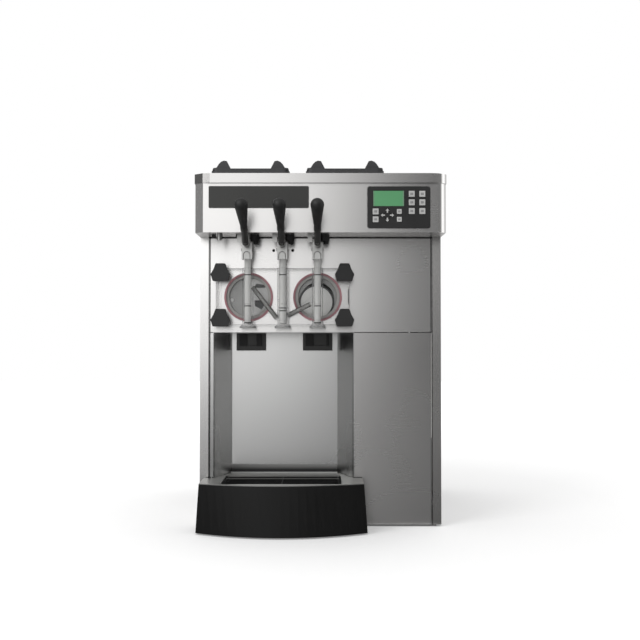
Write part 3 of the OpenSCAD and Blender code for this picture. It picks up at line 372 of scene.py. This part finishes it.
for name in nodes:
    if name.startswith("knob_"):
        FINISH[name] = plastic_black
    if name.startswith("key_"):
        FINISH[name] = key_grey
for name, material in FINISH.items():
    for holder in nodes[name].material_slots:
        holder.material = material


# Pieces --------------------------------------------------------------

# Edges that turn by more than this stay sharp on a smooth piece.
SHARP_TURN = math.radians(35)
# The steps of a wide ring, and the bore of a turned piece that has none to be seen.
WIDE_STEPS = 64
CORE = 0.01 * MM


def made(name, mesh, material, body="cabinet", smooth=True):
    """An object from a bmesh that rides a body of the machine."""
    data = bpy.data.meshes.new(name)
    bmesh.ops.recalc_face_normals(mesh, faces=mesh.faces[:])
    mesh.to_mesh(data)
    mesh.free()
    for face in data.polygons:
        face.use_smooth = smooth
    if smooth:
        data.set_sharp_from_angle(angle=SHARP_TURN)
    data.materials.append(material)
    piece = bpy.data.objects.new(name, data)
    bpy.context.scene.collection.objects.link(piece)
    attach(piece, body)
    return piece


def turned(profile, centre, axis, steps=48):
    """A closed ring swept from a profile of (radius, along) points round an axis."""
    mesh = bmesh.new()
    side = Vector((1, 0, 0)) if abs(axis.x) < 0.9 else Vector((0, 1, 0))
    u = axis.cross(side).normalized()
    v = axis.cross(u)
    rings = []
    for i in range(steps):
        turn = 2 * math.pi * i / steps
        out = u * math.cos(turn) + v * math.sin(turn)
        rings.append([mesh.verts.new(centre + out * r + axis * t) for r, t in profile])
    for i in range(steps):
        here, there = rings[i], rings[(i + 1) % steps]
        for j in range(len(profile)):
            k = (j + 1) % len(profile)
            mesh.faces.new((here[j], here[k], there[k], there[j]))
    return mesh


def tube(points, radius):
    """A solid round bar through points, its ends capped."""
    steps = 24
    mesh = bmesh.new()
    rings = []
    for i, point in enumerate(points):
        before = points[max(i - 1, 0)]
        after = points[min(i + 1, len(points) - 1)]
        axis = (after - before).normalized()
        u = axis.cross(Vector((1, 0, 0))).normalized()
        v = axis.cross(u)
        ring = []
        for k in range(steps):
            turn = 2 * math.pi * k / steps
            ring.append(mesh.verts.new(point + (u * math.cos(turn) + v * math.sin(turn)) * radius))
        rings.append(ring)
    for here, there in zip(rings, rings[1:]):
        for k in range(steps):
            n = (k + 1) % steps
            mesh.faces.new((here[k], here[n], there[n], there[k]))
    mesh.faces.new(rings[0])
    mesh.faces.new(rings[-1])
    return mesh


def prism(mesh, near, far):
    """The caps and the walls between two loops of vertices."""
    mesh.faces.new(near)
    mesh.faces.new(far)
    for i in range(len(near)):
        k = (i + 1) % len(near)
        mesh.faces.new((near[i], near[k], far[k], far[i]))


def flat_shape(outline, front, back):
    """A plate with an outline of (x, z) points between two depths."""
    mesh = bmesh.new()
    near = [mesh.verts.new((x, front, z)) for x, z in outline]
    far = [mesh.verts.new((x, back, z)) for x, z in outline]
    prism(mesh, near, far)
    return mesh


def plate(name, outline, front, back, finish, body="cabinet"):
    """A piece made from a flat shape."""
    return made(name, flat_shape(outline, front, back), finish, body, False)


def rect(x0, z0, x1, z1):
    """The outline of an upright rectangle."""
    return [(x0, z0), (x1, z0), (x1, z1), (x0, z1)]


def collar(inner, outer, start, end):
    """The profile of a plain ring, for turned()."""
    return [(inner, start), (outer, start), (outer, end), (inner, end)]


def middle(node):
    """The middle of a node's box."""
    low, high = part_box(node)
    return (low + high) / 2


def plunger_rings():
    """Dark O-rings and a joint line on each valve plunger."""
    rings = {"left": (2, 47, 131), "middle": (34, 41.5, 131), "right": (2, 47, 131)}
    for side in SIDES:
        low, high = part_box(side + "_plunger")
        centre = middle(side + "_plunger")
        radius = (high.x - low.x) / 2
        profile = collar(radius - 1 * MM, radius + 0.25 * MM, -1.3 * MM, 1.3 * MM)
        for i, up in enumerate(rings[side]):
            place = Vector((centre.x, centre.y, low.z + up * MM))
            made(side + "_valve_ring_%d" % (i + 1), turned(profile, place, UP), rubber_black,
                 side + "_valve")


def lever_sleeves():
    """The black coating on each draw lever's bar, from its knee up to the grip."""
    slope = math.radians(36)
    run = Vector((0, -math.cos(slope), math.sin(slope)))
    sleeves = {"coat": (-6, 56, 8.2), "collar": (46, 57, 9.6)}
    for side in SIDES:
        low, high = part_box(side + "_lever")
        knee = Vector(((low.x + high.x) / 2, high.y - 90.5 * MM, low.z + 41 * MM))
        for name, (start, end, radius) in sleeves.items():
            ends = [knee + run * start * MM, knee + run * end * MM]
            made("%s_lever_%s" % (side, name), tube(ends, radius * MM), bar_black,
                 side + "_handle")


def window_lips():
    """The pale lip of each freezing cylinder behind the door."""
    seal_low, seal_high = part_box("door_seals")
    outer = (seal_high.z - seal_low.z) / 2 - 4.5 * MM
    for side in PAIR:
        centre = middle(side + "_auger")
        low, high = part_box(side + "_auger")
        place = Vector((centre.x, seal_high.y, middle("door_seals").z))
        inner = (high.x - low.x) / 2 - 2.5 * MM
        profile = [(inner, 2 * MM), (inner, 13 * MM), (outer, 13 * MM), (outer, 2 * MM)]
        made(side + "_cylinder_lip", turned(profile, place, BACK, WIDE_STEPS), lip_grey)


# The way each arrow key points, across and up.
ARROWS = {"key_up": (0, 1), "key_down": (0, -1), "key_left": (-1, 0), "key_right": (1, 0)}
# A blunt arrow, as shares of half a key along its way and across it.
ARROW_SHARES = [(1.2, 0), (0.15, 1.0), (0.15, 0.36), (-0.95, 0.36),
                (-0.95, -0.36), (0.15, -0.36), (0.15, -1.0)]


def arrow_key(name):
    """A key cap in the shape of a blunt arrow."""
    low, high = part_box(name)
    centre = (low + high) / 2
    a, b = ARROWS[name]
    w = (high.x - low.x) * 0.5
    outline = [(centre.x + (a * along - b * out) * w, centre.z + (b * along + a * out) * w)
               for along, out in ARROW_SHARES]
    cap = plate(name + "_cap_shape", outline, low.y, high.y, key_grey, name + "_cap")
    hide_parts(name)


# The heights of the clear door's edges.
DOOR_TOP, DOOR_FOOT = 0.7005, 0.5465


def door_edges(face):
    """The polished edges of the clear door, broken round the draw valves, and its side slot."""
    low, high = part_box("dispensing_door")
    left, right = low.x, high.x
    strips = [rect(left, DOOR_FOOT + 8 * MM, left + 2 * MM, DOOR_TOP - 8 * MM),
              rect(left + 8 * MM, DOOR_FOOT + 4 * MM, left + 10 * MM, DOOR_TOP - 4 * MM),
              rect(right - 2 * MM, DOOR_FOOT + 8 * MM, right, DOOR_TOP - 8 * MM)]
    stops = [left + 4 * MM]
    for side in SIDES:
        centre = middle(side + "_plunger").x
        stops += [centre - 12 * MM, centre + 12 * MM]
    stops.append(right - 4 * MM)
    level = [rect(x0, z0, x1, z1)
             for z0, z1 in ((DOOR_TOP - 2.2 * MM, DOOR_TOP), (DOOR_FOOT, DOOR_FOOT + 2.2 * MM))
             for x0, x1 in zip(stops[::2], stops[1::2])]
    for i, outline in enumerate(level + strips):
        plate("door_edge_%d" % (i + 1), outline, face, face + 1 * MM, clear_rim)
    slot = rect(right - 4 * MM, 0.605, right - 4 * MM + 1.8 * MM, 0.644)
    plate("door_slot", slot, face - 0.3 * MM, face + 0.5 * MM, ring_dark)


def spout_flanges():
    """The flange at the foot of each spout, with a line over and under it."""
    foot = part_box("dispensing_door")[0].z
    for side in SIDES:
        centre = middle(side + "_plunger")
        place = Vector((centre.x, centre.y, foot))
        profile = collar(16.5 * MM, 21.8 * MM, 0.3 * MM, 4.8 * MM)
        made(side + "_spout_flange", turned(profile, place, UP), clear_channel)
        for i, up in enumerate((0.4, 5.2)):
            line = collar(20.6 * MM, 22.0 * MM, (up - 0.4) * MM, (up + 0.4) * MM)
            made(side + "_spout_line_%d" % (i + 1), turned(line, place, UP), paint_grey)


def door_channels(depth):
    """The angled bores from both cylinders to the middle spout."""
    channels = {"left": ((-0.1844, 0.650), (-0.1193, 0.566)),
                "right": ((-0.0271, 0.604), (-0.0895, 0.5728))}
    for side, ends in channels.items():
        points = [Vector((x, depth, z)) for x, z in ends]
        made(side + "_channel", tube(points, 6.2 * MM), channel_edge)
        nearer = [point - BACK * 4 * MM for point in points]
        made(side + "_channel_bore", tube(nearer, 4.2 * MM), clear_channel)


def door_lines():
    """What shows of the clear door itself."""
    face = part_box("door_seals")[0].y - 20.4 * MM
    door_edges(face)
    spout_flanges()
    door_channels(face + 10 * MM)


# The height of the freezing cylinders' axes.
CYLINDER_Z = 0.6235
# Outlines of (x, z) points on the left cylinder's plate.
POCKETS = {
    "upper_pocket": rect(-0.1885, 0.648, -0.1545, 0.664),
    "lower_pocket": rect(-0.1880, 0.584, -0.1610, 0.615),
}
POCKET_SLOTS = {
    "upper_slot": [(-0.1830, 0.6500), (-0.1520, 0.6500), (-0.1470, 0.6570), (-0.1760, 0.6610)],
    "lower_slot": [(-0.1800, 0.6000), (-0.1620, 0.5900), (-0.1545, 0.6020),
                   (-0.1660, 0.6150), (-0.1800, 0.6150)],
}


def window_details():
    """The seals' soft edges and what shows on the plates behind the two windows, with a painted
    sheen on the left plate and a painted shadow ring on the right one.
    """
    for side in PAIR:
        centre = middle(side + "_auger")
        place = Vector((centre.x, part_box("door_seals")[0].y, middle("door_seals").z))
        profile = collar(61.0 * MM, 66.6 * MM, -1.2 * MM, -0.2 * MM)
        made(side + "_seal_lip", turned(profile, place, BACK, WIDE_STEPS), seal_red)
    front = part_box("left_auger")[0].y
    # A white dome on the plate's screw head: its white is a painted glint.
    dome = [(CORE, -3.4 * MM), (3.2 * MM, -3.0 * MM), (5.2 * MM, -1.8 * MM),
            (5.6 * MM, 0.4 * MM), (CORE, 0.4 * MM)]
    made("plate_screw", turned(dome, Vector((-0.2429, front, 0.6156)), BACK, 24), screw_glint_white,
         "left_dasher")
    # A pale half disc on the left plate: a painted sheen of light.
    hub = middle("left_auger")
    half = [(hub.x + 2 * MM + 52 * MM * math.cos(t), CYLINDER_Z + 52 * MM * math.sin(t))
            for t in (math.radians(-88 + 11 * i) for i in range(17))]
    plate("left_plate_painted_sheen", half, front - 0.5 * MM, front + 0.2 * MM, painted_sheen_grey,
          "left_dasher")
    # The right plate sits off the auger's axis, so it stays still in front of it.
    place = Vector((-0.0109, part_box("right_auger")[0].y, 0.610))
    disc = collar(CORE, 43.5 * MM, -1.3 * MM, -0.3 * MM)
    made("right_plate_disc", turned(disc, place, BACK, WIDE_STEPS), disc_pale)
    # A dark ring round the pale disc: painted shadow at the far end of the cylinder.
    rim = collar(43.5 * MM, 49.0 * MM, -1.8 * MM, -0.3 * MM)
    made("right_plate_shadow_rim", turned(rim, place, BACK, WIDE_STEPS), ring_dark)
    # The pale pockets take nearly the tone of the painted sheen.
    for outlines, proud, finish in ((POCKETS, 1.0, pocket_sheen_grey),
                                    (POCKET_SLOTS, 1.6, pocket_dark)):
        for name, outline in outlines.items():
            plate("left_plate_" + name, outline, front - proud * MM, front + 0.2 * MM, finish,
                  "left_dasher")


def lever_bosses():
    """The rounded end of each plunger's pin block, framed by the arch of its lever block."""
    radius = 8.2 * MM
    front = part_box("lever_brackets")[0].y - 3.0 * MM
    for side in SIDES:
        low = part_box(side + "_lever")[0]
        centre = middle(side + "_plunger")
        foot, rise = low.z + 0.4 * MM, low.z + 11 * MM
        outline = [(centre.x - radius, foot), (centre.x + radius, foot)]
        outline += [(centre.x + radius * math.cos(t), rise + radius * math.sin(t))
                    for t in (math.pi * i / 16 for i in range(17))]
        plate(side + "_lever_boss", outline, front, front + 3 * MM, valve_grey,
              side + "_handle")


def bore_lines():
    """The edges of the plunger bores, seen through the clear door."""
    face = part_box("door_seals")[0].y - 20.6 * MM
    for side, offsets in {"left": (-10.6, 16), "middle": (-12, 16), "right": (-12, 14)}.items():
        centre = middle(side + "_plunger")
        for i, offset in enumerate(offsets):
            x = centre.x + offset * MM
            outline = rect(x - 0.7 * MM, 0.549, x + 0.7 * MM, 0.698)
            plate("%s_bore_line_%d" % (side, i + 1), outline, face, face + 0.6 * MM, clear_rim)


# Millimetres from one cooling slot to the next.
VENT_PITCH = 14
# A hood's section, in millimetres out of the wall and up from the foot of its slot.
HOOD = [(-0.2, 5.4), (3.0, 1.2), (3.0, 0.2), (2.4, 0.2), (1.6, 1.4), (-0.2, 4.2)]


def louvres(name, rows, length, width_at, base, wall, out):
    """A field of small hoods over a skin's cooling slots; out is the way they stand proud."""
    mesh = bmesh.new()
    for row in range(rows):
        z = base + (row * VENT_PITCH + 4) * MM
        ends = []
        for share in (-0.5, 0.5):
            at = width_at + share * length
            line = []
            for proud, up in HOOD:
                if out.x:
                    line.append(mesh.verts.new((wall + out.x * proud * MM, at, z + up * MM)))
                else:
                    line.append(mesh.verts.new((at, wall + out.y * proud * MM, z + up * MM)))
            ends.append(line)
        prism(mesh, *ends)
    made(name, mesh, steel_hood, smooth=False)


def casing_louvres():
    """Hooded slots on both sides and at the back."""
    for side, turn in (("left", -1), ("right", 1)):
        low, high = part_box(side + "_side_panel")
        wall = high.x if turn > 0 else low.x
        out = Vector((turn, 0, 0))
        louvres(side + "_low_louvres", 16, 0.220, 0.040, 0.090, wall, out)
        louvres(side + "_high_louvres", 6, 0.220, 0.040, high.z - 0.297, wall, out)
    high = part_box("back_panel")[1]
    louvres("back_low_louvres", 18, 0.260, 0.120, 0.110, high.y, BACK)
    louvres("back_high_louvres", 7, 0.420, 0.0, high.z - 0.147, high.y, BACK)


def tray_bar():
    """A flat bar across the drip grid."""
    low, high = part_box("drip_grid")
    place = -0.307
    outline = rect(low.x + 3 * MM, high.z, high.x - 3 * MM, high.z + 1.6 * MM)
    plate("tray_bar", outline, place - 3 * MM, place + 3 * MM, bar_grey, "drip_rack")


def drawer_fronts():
    """Dark strips on each drip drawer's front: painted shade in its pocket."""
    shade_strips = {"left": ((0.10, 0.36), (0.68, 0.86)), "right": ((0.09, 0.36), (0.80, 0.88))}
    for side, spans in shade_strips.items():
        low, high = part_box(side + "_drip_drawer")
        width = high.x - low.x
        for i, (start, end) in enumerate(spans):
            outline = rect(low.x + start * width, low.z + 12 * MM,
                           low.x + end * width, high.z - 1 * MM)
            plate("%s_drawer_pocket_shade_%d" % (side, i + 1), outline, low.y - 0.5 * MM,
                  low.y + 0.3 * MM, drawer_shade_black, side + "_drawer")


# The ends of each catch across the machine, and its drop in millimetres.
CATCHES = [(-0.2900, -0.2790, 6), (-0.2680, -0.2620, 12), (-0.2255, -0.2205, 6),
           (-0.1240, -0.1190, 6), (-0.0290, -0.0240, 6)]


def head_catches():
    """Small dark catches under the head, one of them a hanger."""
    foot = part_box("head_shroud")[0].z
    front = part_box("lever_brackets")[0].y
    for i, (x0, x1, drop) in enumerate(CATCHES):
        outline = rect(x0, foot - drop * MM, x1, foot + 1 * MM)
        plate("head_catch_%d" % (i + 1), outline, front + 2 * MM, front + 12 * MM,
              rubber_black)


def rolled_face(name, start, end, rise, low, high):
    """A slightly rounded skin over an upright face between two plan points and two heights."""
    chord = end - start
    out = Vector((chord.y, -chord.x)).normalized()
    radius = chord.length ** 2 / (8 * rise) + rise / 2
    centre = (start + end) / 2 - out * (radius - rise)
    first = math.atan2(start.y - centre.y, start.x - centre.x)
    sweep = (start - centre).angle(end - centre)
    turns = [first + sweep * i / 16 for i in range(17)]
    outline = [centre + radius * Vector((math.cos(t), math.sin(t))) for t in turns]
    mesh = bmesh.new()
    foot = [mesh.verts.new((point.x, point.y, low)) for point in outline]
    top = [mesh.verts.new((point.x, point.y, high)) for point in outline]
    prism(mesh, foot, top)
    made(name, mesh, steel_edge)


def head_corners():
    """The rounded right front corners of the head and its band."""
    head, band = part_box("head_shroud"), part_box("top_cap")
    rolled_face("head_right_corner", Vector((0.3063, -0.4262)), Vector((0.3287, -0.4088)),
                1.6 * MM, head[0].z + 0.4 * MM, band[0].z - 0.4 * MM)
    rolled_face("band_right_corner", Vector((0.3071, -0.4281)), Vector((0.3307, -0.4098)),
                1.6 * MM, band[0].z + 0.2 * MM, band[1].z - 0.2 * MM)


def casing_seams():
    """The dark gaps between the head, the side panels and the front."""
    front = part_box("front_panel")[0].y
    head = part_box("head_shroud")[0].z
    fold_low, fold_high = 0.240, 0.5255
    gaps = {"head": rect(-0.3055, head - 3.2 * MM, 0.3055, head - 0.2 * MM),
            "left": rect(-0.3030, 0.134, -0.3003, head - 2 * MM),
            "right_high": rect(0.3003, fold_high, 0.3022, head - 2 * MM),
            "right_low": rect(0.3005, 0.006, 0.3018, fold_low),
            "right_fold": rect(0.3018, fold_low, 0.3033, fold_high)}
    for name, outline in gaps.items():
        finish = lip_grey if name == "right_fold" else cavity_black
        plate(name + "_casing_gap", outline, front - 0.4 * MM, front + 0.4 * MM, finish)


def recess_cove():
    """The rounded foot of the recess wall, its upper part darker towards the deck as a painted
    dark reflection of the drip tray, and the dark seams where the deck meets the casing.
    """
    low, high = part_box("recess_liner")
    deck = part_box("drip_pan")[1].z
    wall = high.y - 1.5 * MM
    back = wall - 0.2 * MM
    left, right = low.x + 54 * MM, high.x - 44 * MM
    radius = 24 * MM
    curve = [(back - radius * (1 - math.sin(t)), deck + 0.3 * MM + radius * (1 - math.cos(t)))
             for t in (math.radians(90 * i / 12) for i in range(13))]
    cut = 4
    strip, cove = curve[:cut + 1], curve[cut:]
    profiles = {"cove_strip": (strip + [(back, strip[-1][1]), (back, strip[0][1])], strip_grey),
                "recess_cove": (cove + [(back, cove[0][1])], cove_shade)}
    for name, (profile, finish) in profiles.items():
        mesh = bmesh.new()
        prism(mesh, *[[mesh.verts.new((x, y, z)) for y, z in profile] for x in (left, right)])
        made(name, mesh, finish)
    for side, x0, x1 in (("left", -0.3125, -0.2925), ("right", 0.0915, 0.1135)):
        outline = rect(x0, deck + 0.6 * MM, x1, deck + 2.0 * MM)
        plate(side + "_deck_seam", outline, -0.3104, -0.3099, cavity_black)


def display_rim():
    """The paler margin along both ends of the display."""
    low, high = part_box("display_window")
    inset = 0.4 * MM
    for side, x0, x1 in (("left", low.x + inset, low.x + 2.6 * MM),
                         ("right", high.x - 3.4 * MM, high.x - inset)):
        outline = rect(x0, low.z + inset, x1, high.z - inset)
        plate("display_%s_margin" % side, outline, low.y - 0.2 * MM, low.y + 0.2 * MM,
              display_pale)


def key_icons():
    """An arrow for each arrow key, and a plain generic mark on each of the others."""
    for name in nodes:
        if name in ARROWS:
            arrow_key(name)
        elif name.startswith("key_"):
            low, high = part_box(name)
            x, z = (low.x + high.x) / 2, (low.z + high.z) / 2
            w = (high.x - low.x) * 0.24
            outline = rect(x - w, z - w * 0.8, x + w, z + w * 0.8)
            plate(name + "_mark", outline, low.y - 0.15 * MM, low.y + 0.1 * MM, icon_grey,
                  name + "_cap")


plunger_rings()
lever_sleeves()
window_lips()
door_lines()
window_details()
lever_bosses()
bore_lines()
casing_louvres()
head_corners()
tray_bar()
drawer_fronts()
head_catches()
casing_seams()
recess_cove()
display_rim()
key_icons()


# Stage ---------------------------------------------------------------

WORLD_LEVEL = 0.5
FLOOR_LIFT = 0.22
CARD_LEVEL = 1.3
LENS, SENSOR = 50.0, 36.0
CAMERA_PLACE = (-0.00135, -2.736, 0.508)
CAMERA_RISE = 1.2507


def plane(name, corners):
    """A flat sheet through its corners."""
    mesh = bpy.data.meshes.new(name)
    mesh.from_pydata(corners, [], [list(range(len(corners)))])
    sheet = bpy.data.objects.new(name, mesh)
    bpy.context.scene.collection.objects.link(sheet)
    return sheet


def shown(g):
    """One for the camera, a mirror or a clear piece, nothing for light falling on the machine."""
    rays = g.add("ShaderNodeLightPath").outputs
    mirrored = g.maths("MAXIMUM", rays["Is Camera Ray"], rays["Is Glossy Ray"])
    return g.maths("MAXIMUM", mirrored, rays["Is Transmission Ray"])


def surface(g, sheet, shader):
    """Put a sheet's shader on it, without counting it among the lamps."""
    g.link(shader, g.tree.nodes["Material Output"].inputs["Surface"])
    g.material.cycles.emission_sampling = "NONE"
    sheet.data.materials.append(g.material)


def floor():
    """A white floor that keeps the machine's own shadow."""
    sheet = plane("floor", [(-8, -8, 0), (8, -8, 0), (8, 8, 0), (-8, 8, 0)])
    g = Graph("floor_white", Roughness=0.8, Specular_IOR_Level=0.0)
    g.shader.inputs["Base Color"].default_value = (0.86, 0.86, 0.86, 1)
    place = g.add("ShaderNodeTexCoord")
    far = g.add("ShaderNodeVectorMath", operation="LENGTH")
    g.link(place.outputs["Object"], far.inputs[0])
    lift = g.remap(far.outputs["Value"], FLOOR_LIFT, 0.7, 0.9, 3.0)
    glow = g.add("ShaderNodeEmission")
    g.link(g.maths("MULTIPLY", shown(g), lift), glow.inputs["Strength"])
    both = g.add("ShaderNodeAddShader")
    g.link(g.shader.outputs[0], both.inputs[0])
    g.link(glow.outputs[0], both.inputs[1])
    surface(g, sheet, both.outputs[0])


def card(name, corners, across, up):
    """A studio card that only the gloss of the machine sees: brightness by stops across and up."""
    sheet = plane(name, corners)
    g = Graph(name + "_glow")
    split = g.parts(g.add("ShaderNodeTexCoord").outputs["Generated"])
    levels = []
    for axis, stops in (("X", across), up):
        ramp = g.add("ShaderNodeValToRGB")
        bar = ramp.color_ramp.elements
        while len(bar) < len(stops):
            bar.new(0.5)
        for element, (position, value) in zip(bar, stops):
            element.position = position
            element.color = (value, value, value, 1)
        g.link(split[axis], ramp.inputs["Fac"])
        levels.append(ramp.outputs["Color"])
    glow = g.add("ShaderNodeEmission", Strength=CARD_LEVEL)
    g.link(g.dimmed(*levels), glow.inputs["Color"])
    surface(g, sheet, glow.outputs[0])
    sheet.visible_camera = False
    sheet.visible_shadow = False
    sheet.visible_diffuse = False


def area(name, place, target, size, power, mirrored=True):
    """A rectangular lamp that looks at a target; mirrored is whether gloss shows it."""
    data = bpy.data.lights.new(name, "AREA")
    data.shape = "RECTANGLE"
    data.size, data.size_y = size
    data.energy = power
    lamp = bpy.data.objects.new(name, data)
    lamp.location = place
    aim = Vector(target) - Vector(place)
    lamp.rotation_euler = aim.to_track_quat("-Z", "Y").to_euler()
    lamp.visible_glossy = mirrored
    bpy.context.scene.collection.objects.link(lamp)


def world():
    """White all round to the eye, and a plain soft light on the machine."""
    scene = bpy.context.scene
    scene.world = bpy.data.worlds.new("studio")
    scene.world.use_nodes = True
    g = Graph.over(scene.world.node_tree)
    mix = g.add("ShaderNodeMixShader")
    g.link(shown(g), mix.inputs[0])
    for slot, level in ((1, WORLD_LEVEL), (2, 1.0)):
        white = g.add("ShaderNodeBackground", Strength=level)
        white.inputs["Color"].default_value = (1, 1, 1, 1)
        g.link(white.outputs[0], mix.inputs[slot])
    g.link(mix.outputs[0], g.add("ShaderNodeOutputWorld").inputs["Surface"])


def camera():
    """The photograph's view."""
    data = bpy.data.cameras.new("camera")
    data.lens = LENS
    data.sensor_width = SENSOR
    body = bpy.data.objects.new("camera", data)
    body.location = CAMERA_PLACE
    body.rotation_euler = (math.radians(90 + CAMERA_RISE), 0, 0)
    bpy.context.scene.collection.objects.link(body)
    bpy.context.scene.camera = body


floor()
world()
camera()
# Each card's corners, its stops across, and its stops along its other axis.
card("front_card", [(-3, -4.2, 0.0), (3, -4.2, 0.0), (3, -4.2, 4), (-3, -4.2, 4)],
     [(0.0, 1.0), (0.44, 1.0), (0.60, 0.12), (0.75, 0.05), (1.0, 0.25)],
     ("Z", [(0.0, 0.36), (0.2, 0.9), (0.3, 1.0)]))
card("floor_card", [(-3, -4.2, 0.001), (3, -4.2, 0.001), (3, -0.33, 0.001), (-3, -0.33, 0.001)],
     [(0.0, 0.38), (0.44, 0.38), (0.60, 0.18), (1.0, 0.18)],
     ("Y", [(0.0, 0.9), (1.0, 0.40)]))
card("left_card", [(-3.4, -4.2, 0.0), (-3.4, 2.5, 0.0), (-3.4, 2.5, 3.5), (-3.4, -4.2, 3.5)],
     [(0.0, 1.0), (1.0, 1.0)], ("Y", [(0.0, 0.22), (1.0, 0.16)]))
card("right_card", [(3.4, -4.2, 0.0), (3.4, 2.5, 0.0), (3.4, 2.5, 3.5), (3.4, -4.2, 3.5)],
     [(0.0, 1.0), (1.0, 1.0)],
     ("Y", [(0.0, 0.16), (0.43, 0.16), (0.50, 1.0), (0.58, 1.0), (0.66, 0.45), (1.0, 0.45)]))
card("rear_floor_card", [(-5, -0.32, 0.001), (5, -0.32, 0.001), (5, 5, 0.001), (-5, 5, 0.001)],
     [(0.0, 0.30), (0.5, 0.5), (1.0, 0.34)], ("Y", [(0.0, 1.0), (1.0, 0.7)]))
card("back_card", [(-6, 4.6, 0), (6, 4.6, 0), (6, 4.6, 5), (-6, 4.6, 5)],
     [(0.0, 0.34), (0.35, 0.56), (0.65, 0.5), (1.0, 0.30)],
     ("Z", [(0.0, 0.6), (0.4, 1.0), (1.0, 0.7)]))
card("top_card", [(-5, -1.5, 4.2), (5, -1.5, 4.2), (5, 6, 4.2), (-5, 6, 4.2)],
     [(0.0, 0.62), (0.5, 0.5), (1.0, 0.36)], ("Y", [(0.0, 0.7), (1.0, 1.0)]))
area("key", (-2.4, -2.6, 2.6), (0, 0, 0.5), (2.0, 2.0), 45)
area("top", (0, 0, 3.2), (0, 0, 0), (2.4, 2.4), 48, False)
bpy.context.scene.view_settings.view_transform = "Standard"
